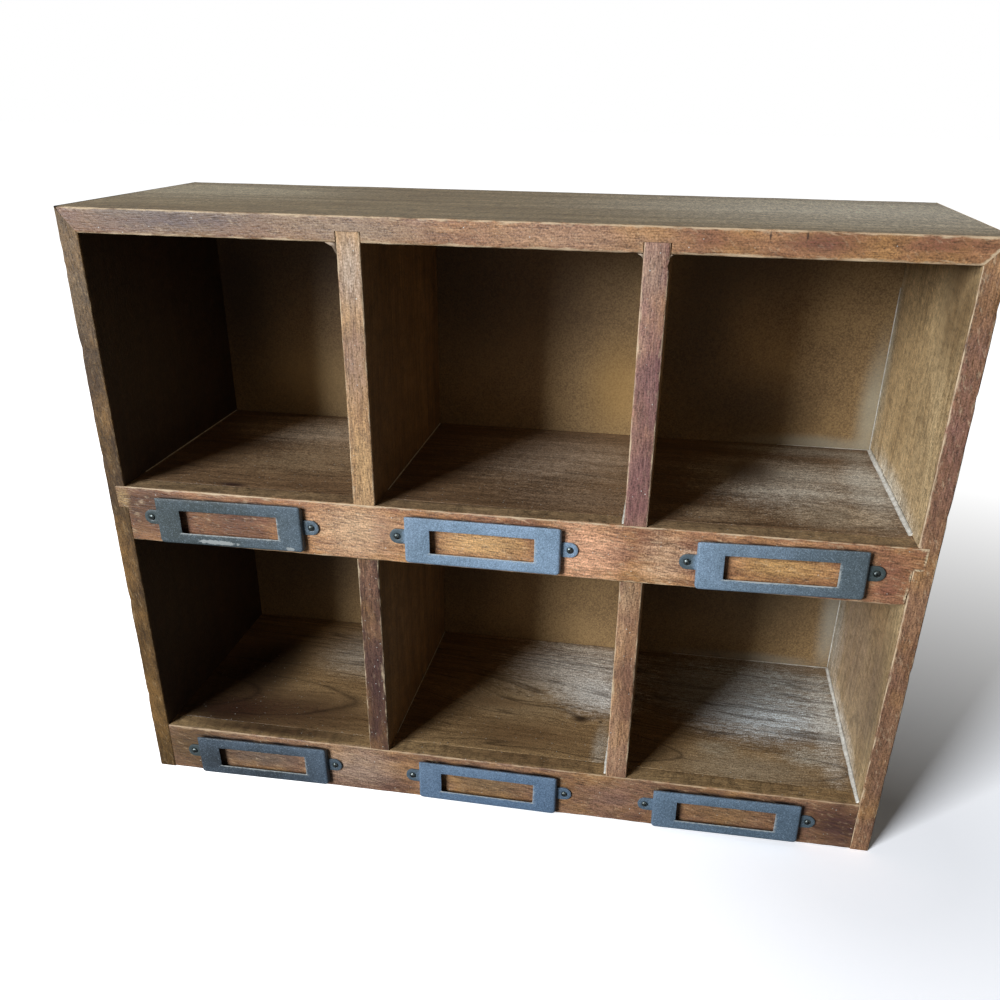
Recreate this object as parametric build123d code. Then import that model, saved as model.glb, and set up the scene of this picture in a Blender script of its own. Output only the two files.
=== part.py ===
from build123d import *
import os

# Cubby organizer: a mitred hardwood carcass with two rows of open compartments, a label rail
# in front of each row's floor, folded steel label holders and a thin panel let into the back.
# +X is to the right seen from the front, +Y to the back and +Z up. The origin is on the floor,
# under the middle of the whole depth. Lengths are in millimetres and angles in degrees.

# Compartments
COLUMN_NAMES = ("left", "centre", "right")
DIVIDER_NAMES = ("left", "right")
CUBBY_W = 129.0
UPPER_CUBBY_H = 129.5
LOWER_CUBBY_H = 125.5
BODY_D = 150.0

# Board stock
TOP_T = 12.0
SIDE_T = 10.5
SHELF_T = 12.0
BOTTOM_T = 12.0
DIVIDER_T = 12.0
RAIL_T = 12.0
SHELF_RAIL_H = 31.5
BOTTOM_RAIL_H = 31.5

# Joinery: shelf tongues in the sides, divider tops in the top board, panel rabbet at the back
TONGUE_L = 5.5
DIVIDER_HOUSING_D = 5.0
RABBET_LAP = 5.0

# Worn edges: outer corners, outer arrises, arrises round the compartments
CORNER_R = 2.0
ARRIS_R = 1.0
EASED_R = 0.8

# Back panel
PANEL_T = 3.0
PANEL_CLEARANCE = 0.3
PANEL_FOOT_GAP = 1.0

# Panel pins: at the middle of each compartment's width in each board, and of its height in each side
PANEL_PIN_L = 14.0
PANEL_PIN_R = 0.6
PANEL_PIN_HEAD_R = 1.4
PANEL_PIN_HEAD_T = 0.6
PANEL_PIN_COVER = 0.2

# Label holders: sheet steel folded at the left, right and lower edges, open at the top
HOLDER_W = 82.4
HOLDER_H = 26.2
HOLDER_PROJECTION = 4.0
SHEET_T = 1.0
FOLD_R = 1.5
HOLDER_CORNER_R = 2.2
WINDOW_W = 55.0
WINDOW_H = 13.0
WINDOW_CORNER_R = 0.5
EAR_R = 4.1
EAR_REACH = 4.5
PLATE_DROP = 0.6

# Each holder's place along its compartment, as shares of the compartment's width, and its tilt
UPPER_HOLDER_SHIFT_SHARES = (-0.039, -0.057, 0.018)
LOWER_HOLDER_SHIFT_SHARES = (-0.026, -0.034, -0.054)
UPPER_HOLDER_TILTS = (0.7, 0.0, 1.2)
LOWER_HOLDER_TILTS = (1.0, -0.4, 0.6)

# Holder pins: a head that flares through the ear's thickness, with a low crown
HOLDER_PIN_L = 9.0
HOLDER_PIN_R = 0.8
HOLDER_PIN_FLARE = 46.0
HOLDER_PIN_CROWN_H = 0.5
HOLDER_PIN_CROWN_TAPER = 58.0

# Pins and their holes have this many flats in place of a round section
PIN_SIDES = 8

# Room round every pin, and the length by which cutters pass the faces that they cut
PIN_CLEARANCE = 0.15
OVERRUN = 2.0

# Sizes that follow
INNER_W = len(COLUMN_NAMES) * CUBBY_W + len(DIVIDER_NAMES) * DIVIDER_T
WIDTH = INNER_W + 2 * SIDE_T
SHELF_RAIL_Z = BOTTOM_RAIL_H + LOWER_CUBBY_H
SHELF_TOP_Z = SHELF_RAIL_Z + SHELF_RAIL_H
SHELF_Z = SHELF_TOP_Z - SHELF_T
BOTTOM_Z = BOTTOM_RAIL_H - BOTTOM_T
TOP_Z = SHELF_TOP_Z + UPPER_CUBBY_H
HEIGHT = TOP_Z + TOP_T
PANEL_TOP_Z = TOP_Z + RABBET_LAP - PANEL_CLEARANCE
FRONT_Y = (HOLDER_PROJECTION - BODY_D) / 2
BACK_Y = FRONT_Y + BODY_D
RAIL_BACK_Y = FRONT_Y + RAIL_T
PANEL_BACK_Y = BACK_Y - PANEL_PIN_HEAD_T - PANEL_PIN_COVER
PANEL_FRONT_Y = PANEL_BACK_Y - PANEL_T
COLUMN_STEP = CUBBY_W + DIVIDER_T
EAR_X = HOLDER_W / 2 + EAR_REACH

# Front-view outlines are drawn on this plane, with sketch x and y along X and Z
FRONT = Plane((0, FRONT_Y, 0), x_dir=(1, 0, 0), z_dir=(0, -1, 0))


def column_x(column):
    """Give the middle of a compartment column."""
    return (column - (len(COLUMN_NAMES) - 1) / 2) * COLUMN_STEP


def divider_x(divider):
    """Give the middle of the divider to the right of a column."""
    return column_x(divider) + COLUMN_STEP / 2


def slab(width, y_limits, z_limits, x=0):
    """Make a square-edged board between two depths and two heights."""
    depth = y_limits[1] - y_limits[0]
    height = z_limits[1] - z_limits[0]
    seat = (Align.CENTER, Align.MIN, Align.MIN)
    return Pos(x, y_limits[0], z_limits[0]) * Box(width, depth, height, align=seat)


def front_prism(points, depth):
    """Extrude a front-view outline from the front plane towards the back."""
    return extrude(FRONT * Polygon(*points, align=None), -depth)


def front_edges(part, axis):
    """Give the part's foremost edges along an axis."""
    return part.edges().filter_by(axis).group_by(Axis.Y)[0]


def envelope():
    """Make the carcass's outer form, whose four long corners are worn round."""
    outline = Pos(Y=HEIGHT / 2) * RectangleRounded(WIDTH, HEIGHT, CORNER_R)
    return extrude(FRONT * outline, -BODY_D)


def pin_section(radius, y=0):
    """Draw a pin's section square to Y at a depth."""
    return Pos(Y=y) * (Plane.XZ * RegularPolygon(radius, PIN_SIDES))


def panel_pin_places():
    """Give the panel pins' places as X and Z, under the name of the board that each enters."""
    side_x = (INNER_W + RABBET_LAP) / 2
    columns = [column_x(column) for column in range(len(COLUMN_NAMES))]
    rows = [(BOTTOM_RAIL_H + SHELF_Z) / 2, (SHELF_TOP_Z + TOP_Z) / 2]
    return {
        "top": [(x, TOP_Z + RABBET_LAP / 2) for x in columns],
        "shelf": [(x, SHELF_Z + SHELF_T / 2) for x in columns],
        "bottom": [(x, BOTTOM_Z + BOTTOM_T / 2) for x in columns],
        "left": [(-side_x, z) for z in rows],
        "right": [(side_x, z) for z in rows],
    }


def panel_pin():
    """Make a flat-headed pin that points forward, with its head's seat at the origin."""
    shank = extrude(pin_section(PANEL_PIN_R), PANEL_PIN_L)
    return shank + extrude(pin_section(PANEL_PIN_HEAD_R), -PANEL_PIN_HEAD_T)


def panel_bores(places):
    """Make the cutters for the panel pins' holes at the given places."""
    section = pin_section(PANEL_PIN_R + PIN_CLEARANCE, OVERRUN)
    bore = extrude(section, OVERRUN + PANEL_PIN_L + PIN_CLEARANCE)
    return [Pos(x, PANEL_BACK_Y, z) * bore for x, z in places]


def rabbet():
    """Make the cutter for the step that takes the back panel, open at the floor."""
    width = INNER_W + 2 * RABBET_LAP
    return slab(width, (PANEL_FRONT_Y, BACK_Y + OVERRUN), (-OVERRUN, TOP_Z + RABBET_LAP))


def top_board(places):
    """Make the top: mitred ends, a housing for each divider, and the panel's rabbet."""
    inner_x = INNER_W / 2
    outer_x = WIDTH / 2
    outline = [(-outer_x, HEIGHT), (-inner_x, TOP_Z), (inner_x, TOP_Z), (outer_x, HEIGHT)]
    board = front_prism(outline, BODY_D)
    board = fillet(board.edges().filter_by(Axis.X).group_by(Axis.Z)[-1], ARRIS_R)
    board = fillet(front_edges(board, Axis.X).sort_by(Axis.Z)[0], EASED_R) & envelope()
    for divider in range(len(DIVIDER_NAMES)):
        depth_limits = (FRONT_Y - OVERRUN, BACK_Y + OVERRUN)
        height_limits = (TOP_Z - OVERRUN, TOP_Z + DIVIDER_HOUSING_D)
        board -= slab(DIVIDER_T, depth_limits, height_limits, divider_x(divider))
    return board - rabbet() - panel_bores(places)


def left_side(places):
    """Make the left side: mitred top, a housing for the shelf, and the panel's rabbet."""
    inner_x = -INNER_W / 2
    outer_x = -WIDTH / 2
    board = front_prism([(outer_x, 0), (inner_x, 0), (inner_x, TOP_Z), (outer_x, HEIGHT)], BODY_D)
    board = fillet(board.edges().filter_by(Axis.Z).group_by(Axis.X)[0], ARRIS_R)
    board = fillet(front_edges(board, Axis.Z).sort_by(Axis.X)[-1], EASED_R) & envelope()
    depth_limits = (FRONT_Y - OVERRUN, BACK_Y + OVERRUN)
    board -= slab(2 * TONGUE_L, depth_limits, (SHELF_Z, SHELF_TOP_Z), inner_x)
    return board - rabbet() - panel_bores(places)


def shelf_front_rail():
    """Make the upper label rail, with a tongue as thick as the shelf at each end."""
    inner_x = INNER_W / 2
    tongue_x = inner_x + TONGUE_L
    half = [(inner_x, SHELF_RAIL_Z), (inner_x, SHELF_Z), (tongue_x, SHELF_Z), (tongue_x, SHELF_TOP_Z)]
    rail = front_prism(half + [(-x, z) for x, z in reversed(half)], RAIL_T)
    edges = front_edges(rail, Axis.X).sort_by(Axis.Z)
    return fillet([edges[0], edges[-1]], EASED_R)


def shelf_board(places):
    """Make the shelf, as long as the rail's tongues, from the rail to the back panel."""
    depth_limits = (RAIL_BACK_Y, PANEL_FRONT_Y)
    board = slab(INNER_W + 2 * TONGUE_L, depth_limits, (SHELF_Z, SHELF_TOP_Z))
    return board - panel_bores(places)


def bottom_front_rail():
    """Make the lower label rail, which stands on the floor between the sides."""
    rail = slab(INNER_W, (FRONT_Y, RAIL_BACK_Y), (0, BOTTOM_RAIL_H))
    low_edge, top_edge = front_edges(rail, Axis.X).sort_by(Axis.Z)
    return fillet([low_edge, top_edge], EASED_R)


def bottom_board(places):
    """Make the floor of the lower row, from the rail to the back panel."""
    board = slab(INNER_W, (RAIL_BACK_Y, PANEL_FRONT_Y), (BOTTOM_Z, BOTTOM_RAIL_H))
    return board - panel_bores(places)


def upper_divider(x):
    """Make a divider that stands on the shelf, with its top let into the top board."""
    depth_limits = (FRONT_Y, PANEL_FRONT_Y)
    board = slab(DIVIDER_T, depth_limits, (SHELF_TOP_Z, TOP_Z + DIVIDER_HOUSING_D), x)
    return fillet(front_edges(board, Axis.Z), EASED_R)


def lower_divider(x):
    """Make a divider that stands on the bottom, notched to pass behind the shelf's rail."""
    board = slab(DIVIDER_T, (FRONT_Y, PANEL_FRONT_Y), (BOTTOM_RAIL_H, SHELF_Z), x)
    board = fillet(front_edges(board, Axis.Z), EASED_R)
    notch_limits = (SHELF_RAIL_Z, SHELF_Z + OVERRUN)
    return board - slab(DIVIDER_T + 2 * OVERRUN, (FRONT_Y - OVERRUN, RAIL_BACK_Y), notch_limits, x)


def back_panel(places):
    """Make the thin panel that fills the rabbet and stops just above the floor."""
    width = INNER_W + 2 * (RABBET_LAP - PANEL_CLEARANCE)
    panel = slab(width, (PANEL_FRONT_Y, PANEL_BACK_Y), (PANEL_FOOT_GAP, PANEL_TOP_Z))
    return panel - panel_bores(places)


def pan():
    """Press the holder's outer form: a plate whose left, right and lower edges are folded back.

    The plate's middle is at x = z = 0, and the rail's face is at y = 0.
    """
    outline = Rectangle(HOLDER_W, HOLDER_H)
    outline = fillet(outline.vertices().group_by(Axis.Y)[0], HOLDER_CORNER_R)
    form = extrude(Plane.XZ * outline, HOLDER_PROJECTION)
    rim = form.faces().sort_by(Axis.Y)[0].edges()
    return fillet(rim.sort_by(Axis.Z)[:-1], FOLD_R)


def card_slot():
    """Make the cutter for the space behind the plate, open at the top and towards the rail."""
    depth_limits = (SHEET_T - HOLDER_PROJECTION, OVERRUN)
    height_limits = (SHEET_T - HOLDER_H / 2, HOLDER_H / 2 + OVERRUN)
    return slab(HOLDER_W - 2 * SHEET_T, depth_limits, height_limits)


def sunk_head(growth):
    """Make the flared part of a sunk pin's head, widened all round by a clearance."""
    return extrude(pin_section(HOLDER_PIN_R + growth), SHEET_T, taper=-HOLDER_PIN_FLARE)


def sunk_hole():
    """Make the cutter for an ear's countersunk hole."""
    neck = extrude(pin_section(HOLDER_PIN_R + PIN_CLEARANCE), -OVERRUN)
    flare = sunk_head(PIN_CLEARANCE)
    return neck + flare + extrude(flare.faces().sort_by(Axis.Y)[0], OVERRUN)


def ear(side):
    """Make one ear against the rail, with a countersunk hole, on the side given by a sign."""
    tab = Pos(side * (EAR_X - EAR_REACH / 2)) * Rectangle(EAR_REACH, 2 * EAR_R)
    plate = extrude(Plane.XZ * (tab + Pos(side * EAR_X) * Circle(EAR_R)), SHEET_T)
    return plate - Pos(side * EAR_X) * sunk_hole()


def label_holder():
    """Fold one label holder: a windowed plate, three returns, an open top and two ears.

    The pins' middle line is at z = 0, a little above the plate's middle.
    """
    window = RectangleRounded(WINDOW_W, WINDOW_H, WINDOW_CORNER_R)
    form = pan() - card_slot() - extrude(Plane.XZ * window, HOLDER_PROJECTION + OVERRUN)
    return Pos(Z=-PLATE_DROP) * form + ear(-1) + ear(1)


def holder_pin():
    """Make a pin that points back, with its head sunk in the ear and crowned in front of it."""
    shank = extrude(pin_section(HOLDER_PIN_R), -HOLDER_PIN_L)
    head = sunk_head(0)
    crown = extrude(head.faces().sort_by(Axis.Y)[0], HOLDER_PIN_CROWN_H, taper=HOLDER_PIN_CROWN_TAPER)
    return shank + head + crown


def rail_bore():
    """Make the cutter for a holder pin's hole in its rail."""
    section = pin_section(HOLDER_PIN_R + PIN_CLEARANCE, -OVERRUN)
    return extrude(section, -OVERRUN - HOLDER_PIN_L - PIN_CLEARANCE)


def holder_places(shift_shares, tilts, rail_z, rail_h):
    """Give the place of each holder in a row, halfway up its rail."""
    places = []
    for column, (shift_share, tilt) in enumerate(zip(shift_shares, tilts)):
        x = column_x(column) + shift_share * CUBBY_W
        places.append(Pos(x, FRONT_Y, rail_z + rail_h / 2) * Rot(Y=-tilt))
    return places


def ear_places(holder_place):
    """Give the places of a holder's two pins."""
    return [holder_place * Pos(X=side * EAR_X) for side in (-1, 1)]


def carcass():
    """Make the boards, the back panel and its pins, by node name."""
    pins = panel_pin_places()
    side = left_side(pins["left"])
    all_pins = [place for board in pins.values() for place in board]
    nodes = {
        "top_board": top_board(pins["top"]),
        "left_side": side,
        "right_side": mirror(side, Plane.YZ),
        "shelf_front_rail": shelf_front_rail(),
        "shelf_board": shelf_board(pins["shelf"]),
        "bottom_front_rail": bottom_front_rail(),
        "bottom_board": bottom_board(pins["bottom"]),
        "back_panel": back_panel(all_pins),
        "back_panel_pins": Compound([Pos(x, PANEL_BACK_Y, z) * panel_pin() for x, z in all_pins]),
    }
    for divider, name in enumerate(DIVIDER_NAMES):
        nodes[f"upper_{name}_divider"] = upper_divider(divider_x(divider))
        nodes[f"lower_{name}_divider"] = lower_divider(divider_x(divider))
    return nodes


def add_holders(nodes, row, rail, places):
    """Add a row's label holders and pins to the nodes, and drill their rail."""
    for name, place in zip(COLUMN_NAMES, places):
        nodes[f"{row}_{name}_label_holder"] = place * label_holder()
        nodes[f"{row}_{name}_holder_pins"] = Compound([at * holder_pin() for at in ear_places(place)])
        nodes[rail] -= [at * rail_bore() for at in ear_places(place)]


def organizer():
    """Make every piece of the organizer, by node name."""
    nodes = carcass()
    upper = holder_places(UPPER_HOLDER_SHIFT_SHARES, UPPER_HOLDER_TILTS, SHELF_RAIL_Z, SHELF_RAIL_H)
    lower = holder_places(LOWER_HOLDER_SHIFT_SHARES, LOWER_HOLDER_TILTS, 0, BOTTOM_RAIL_H)
    add_holders(nodes, "upper", "shelf_front_rail", upper)
    add_holders(nodes, "lower", "bottom_front_rail", lower)
    return nodes


os.makedirs("parts", exist_ok=True)
for node, shape in organizer().items():
    export_step(shape, f"parts/{node}.step")
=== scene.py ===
"""Looks of a six-compartment cubby organizer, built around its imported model.

Boards are lofted along their grain with worn arrises, label holders are folded from sheet, and
pins come from Geometry Nodes. Sizes are in millimetres unless a name says otherwise, in the
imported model's frame: +X right seen from the front, +Y to the back, +Z up.
"""

import logging
import math
from dataclasses import dataclass, field
from enum import Enum

import bmesh
import bpy
import numpy as np
from mathutils import Euler, Matrix, Vector, noise


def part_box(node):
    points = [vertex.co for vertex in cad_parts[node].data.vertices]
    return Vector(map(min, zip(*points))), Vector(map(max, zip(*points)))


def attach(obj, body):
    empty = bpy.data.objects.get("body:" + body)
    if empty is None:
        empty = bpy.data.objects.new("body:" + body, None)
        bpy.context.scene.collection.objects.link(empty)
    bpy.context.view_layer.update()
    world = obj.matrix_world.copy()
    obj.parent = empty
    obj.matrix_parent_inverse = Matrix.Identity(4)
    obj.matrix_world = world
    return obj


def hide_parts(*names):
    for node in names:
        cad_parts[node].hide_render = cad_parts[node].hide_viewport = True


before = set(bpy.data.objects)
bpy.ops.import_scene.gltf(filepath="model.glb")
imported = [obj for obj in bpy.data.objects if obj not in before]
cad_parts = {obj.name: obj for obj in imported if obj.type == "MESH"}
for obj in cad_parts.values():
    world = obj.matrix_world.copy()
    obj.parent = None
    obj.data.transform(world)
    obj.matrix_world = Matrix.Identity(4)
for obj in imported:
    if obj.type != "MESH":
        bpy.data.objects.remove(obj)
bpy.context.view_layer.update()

LOG = logging.getLogger("cubby_organizer")
MM = 0.001
BODY = "root"

Point = tuple[float, float, float]
Socket = bpy.types.NodeSocket
Tree = bpy.types.NodeTree


def linear(code: str) -> tuple[float, float, float, float]:
    """Turn an sRGB hex colour into linear red, green, blue and alpha.

    Args:
        code: Six hex digits after a number sign.

    Returns:
        The linear colour with full alpha.
    """
    parts = [int(code[i : i + 2], 16) / 255 for i in (1, 3, 5)]
    bent = [p / 12.92 if p <= 0.04045 else ((p + 0.055) / 1.055) ** 2.4 for p in parts]
    return (bent[0], bent[1], bent[2], 1.0)


def put(tree: Tree, kind: str, *values: object, inputs: dict | None = None,
        out: int = 0, **settings: object) -> Socket:
    """Add a node with its settings, and set or link its inputs.

    Args:
        tree: The tree that takes the node.
        kind: The node's type name.
        values: A value or a socket for each live input in order, or None to leave one alone.
        inputs: Values or sockets for inputs by name.
        out: Which live output to return.
        settings: The node's own properties.

    Returns:
        The chosen output.
    """
    node = tree.nodes.new(kind)
    for name, value in settings.items():
        setattr(node, name, value)
    live = [socket for socket in node.inputs if socket.enabled]
    pairs = list(zip(live, values)) + [(node.inputs[name], value) for name, value in (inputs or {}).items()]
    for socket, value in pairs:
        if isinstance(value, Socket):
            tree.links.new(value, socket)
        elif value is not None:
            socket.default_value = value
    return [socket for socket in node.outputs if socket.enabled][out]


def dress(tree: Tree, colour: Socket, relief: Socket, bump: tuple[float, float], **others: object) -> None:
    """Give a material's surface shader its inputs.

    Args:
        tree: The material's tree.
        colour: The base colour.
        relief: The height of the surface's fine relief.
        bump: The relief's strength, and its height in millimetres.
        others: Values or sockets for other inputs of the shader.
    """
    shader = tree.nodes["Principled BSDF"]
    normal = put(tree, "ShaderNodeBump", inputs={"Strength": bump[0], "Distance": bump[1] * MM, "Height": relief})
    for name, value in {"Base Color": colour, "Normal": normal, **others}.items():
        if isinstance(value, Socket):
            tree.links.new(value, shader.inputs[name])
        else:
            shader.inputs[name].default_value = value


def new_material(name: str) -> tuple[bpy.types.Material, Tree, Socket]:
    """Start a node material.

    Args:
        name: The material's name.

    Returns:
        The material, its tree and each point's place in millimetres.
    """
    material = bpy.data.materials.new(name)
    material.use_nodes = True
    tree = material.node_tree
    where = put(tree, "ShaderNodeTexCoord", out=3)
    place = put(tree, "ShaderNodeVectorMath", where, inputs={"Scale": 1 / MM}, operation="SCALE")
    return material, tree, place


def in_scene(name: str, mesh: bpy.types.Mesh) -> bpy.types.Object:
    """Put a mesh in the scene as an object.

    Args:
        name: The object's name.
        mesh: The mesh.

    Returns:
        The new object.
    """
    made = bpy.data.objects.new(name, mesh)
    bpy.context.scene.collection.objects.link(made)
    return made


def worked(thing: bpy.types.Object) -> bpy.types.Mesh:
    """Give the plain mesh that an object's modifiers make, and take the object away.

    Args:
        thing: The object with its modifiers.

    Returns:
        The mesh.
    """
    mesh = bpy.data.meshes.new_from_object(thing.evaluated_get(bpy.context.evaluated_depsgraph_get()))
    thing.modifiers.clear()
    bpy.data.objects.remove(thing)
    return mesh


def formed(form: bmesh.types.BMesh, name: str) -> bpy.types.Mesh:
    """Turn a form into a mesh, and free the form.

    Args:
        form: The form.
        name: The mesh's name.

    Returns:
        The mesh.
    """
    mesh = bpy.data.meshes.new(name)
    form.to_mesh(mesh)
    form.free()
    return mesh


def finish_piece(mesh: bpy.types.Mesh, name: str, nodes: list[str]) -> bpy.types.Object:
    """Put a finished mesh in the scene as a piece that stands for CAD nodes.

    Args:
        mesh: The mesh, in metres and in place.
        name: The piece's name.
        nodes: The CAD nodes that the piece stands for.

    Returns:
        The new object.
    """
    piece = in_scene(name, mesh)
    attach(piece, BODY)
    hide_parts(*nodes)
    LOG.info("%s: %d faces, stands for %s", name, len(mesh.polygons), ", ".join(nodes))
    return piece


def box_mesh(low: Point, high: Point) -> bpy.types.Mesh:
    """Make a box for cutting.

    Args:
        low: Its low corner in millimetres.
        high: Its high corner.

    Returns:
        The mesh, in metres.
    """
    form = bmesh.new()
    bmesh.ops.create_cube(form, size=1.0)
    size = Vector(high) - Vector(low)
    middle = (Vector(high) + Vector(low)) / 2
    matrix = Matrix.Translation(middle * MM) @ Matrix.Diagonal((*(size * MM), 1.0))
    bmesh.ops.transform(form, matrix=matrix, verts=form.verts)
    return formed(form, "cutter")


def wander(points: np.ndarray, reach: float, seed: float) -> np.ndarray:
    """Give smooth noise from about -1 to 1 at each point.

    Args:
        points: Points in millimetres, one a row.
        reach: The distance over which the noise changes, in millimetres.
        seed: A shift that gives each use its own noise.

    Returns:
        One value for each point.
    """
    shift = Vector((seed * 7.3, seed * 3.1, seed * 5.7))
    return np.array([noise.noise(Vector(p) / reach + shift) for p in points])


def segment_distance(points: np.ndarray, start: Point, end: Point) -> np.ndarray:
    """Give each point's distance from a straight line between two points.

    Args:
        points: Points in millimetres, one a row.
        start: Where the line starts.
        end: Where it ends.

    Returns:
        One distance for each point.
    """
    a = np.array(start, float)
    along = np.array(end, float) - a
    share = np.clip((points - a) @ along / max(along @ along, 1e-9), 0, 1)
    return np.linalg.norm(points - a - share[:, None] * along, axis=1)


class Grain(Enum):
    """The way a board's fibres run, as the axes along, across and through it."""

    ALONG_X = (0, 1, 2)
    ALONG_Z = (2, 1, 0)


@dataclass(frozen=True)
class Blot:
    """A place where the stain took differently, where dust, dried glue or wear lies, or where light or shade is
    painted.

    Attributes:
        place: The middle.
        reach: The distance from the middle to the edge along X, Y and Z.
        colour: The blot's sRGB hex colour.
        strength: The share of the colour at the middle.
        streak: How far the fibres break the blot up, from 0 to 1.
    """

    place: Point
    reach: Point
    colour: str
    strength: float
    streak: float = 0.6


@dataclass(frozen=True)
class Knot:
    """A knot that the grain flows round.

    Attributes:
        along: Its place along the grain.
        across: Its place across the grain.
        length: Its reach along the grain.
        width: Its reach across the grain.
        lift: How far it pushes the growth lines aside.
    """

    along: float
    across: float
    length: float
    width: float
    lift: float


def blots_on(axis: int, level: float, *rows: tuple) -> tuple[Blot, ...]:
    """Lay blots on a flat face.

    Args:
        axis: The axis that the face lies across.
        level: The face's place along that axis.
        rows: Each blot's two places on the face, then its reach, colour, strength and streak.

    Returns:
        The blots, in the same order.
    """
    return tuple(Blot((*row[:axis], level, *row[axis:2]), *row[2:]) for row in rows)


def gap_from(tree: Tree, place: Socket, middle: Point, reach: Point) -> Socket:
    """Give each point's distance from a middle, as a share of the reach along each axis.

    Args:
        tree: The material's tree.
        place: Each point's place in millimetres.
        middle: The middle.
        reach: The reach along X, Y and Z.

    Returns:
        The distance, 1 at the reach.
    """
    gap = put(tree, "ShaderNodeVectorMath", place, middle, operation="SUBTRACT")
    gap = put(tree, "ShaderNodeVectorMath", gap, tuple(1 / r for r in reach), operation="MULTIPLY")
    return put(tree, "ShaderNodeVectorMath", gap, operation="LENGTH")


def lay_blots(tree: Tree, place: Socket, colour: Socket, blots: tuple[Blot, ...], veil: Socket) -> Socket:
    """Lay blots over a colour, broken up by a veil.

    Args:
        tree: The material's tree.
        place: Each point's place in millimetres.
        colour: The colour under the blots.
        blots: The blots, the first one lowest.
        veil: A value from 0 to 1 that breaks the blots up.

    Returns:
        The colour with its blots.
    """
    for blot in blots:
        gap = gap_from(tree, place, blot.place, blot.reach)
        gap = put(tree, "ShaderNodeMath", veil, -blot.streak, gap, operation="MULTIPLY_ADD")
        edge = 1.0 - 0.5 * blot.streak
        share = put(tree, "ShaderNodeMapRange", gap, edge, edge - 0.9, 0.0, blot.strength,
                    interpolation_type="SMOOTHSTEP")
        thin = put(tree, "ShaderNodeMapRange", veil, 0.2, 0.75, 1.0 - blot.streak, 1.0)
        share = put(tree, "ShaderNodeMath", share, thin, operation="MULTIPLY")
        colour = put(tree, "ShaderNodeMix", share, colour, linear(blot.colour), data_type="RGBA")
    return colour


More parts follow.
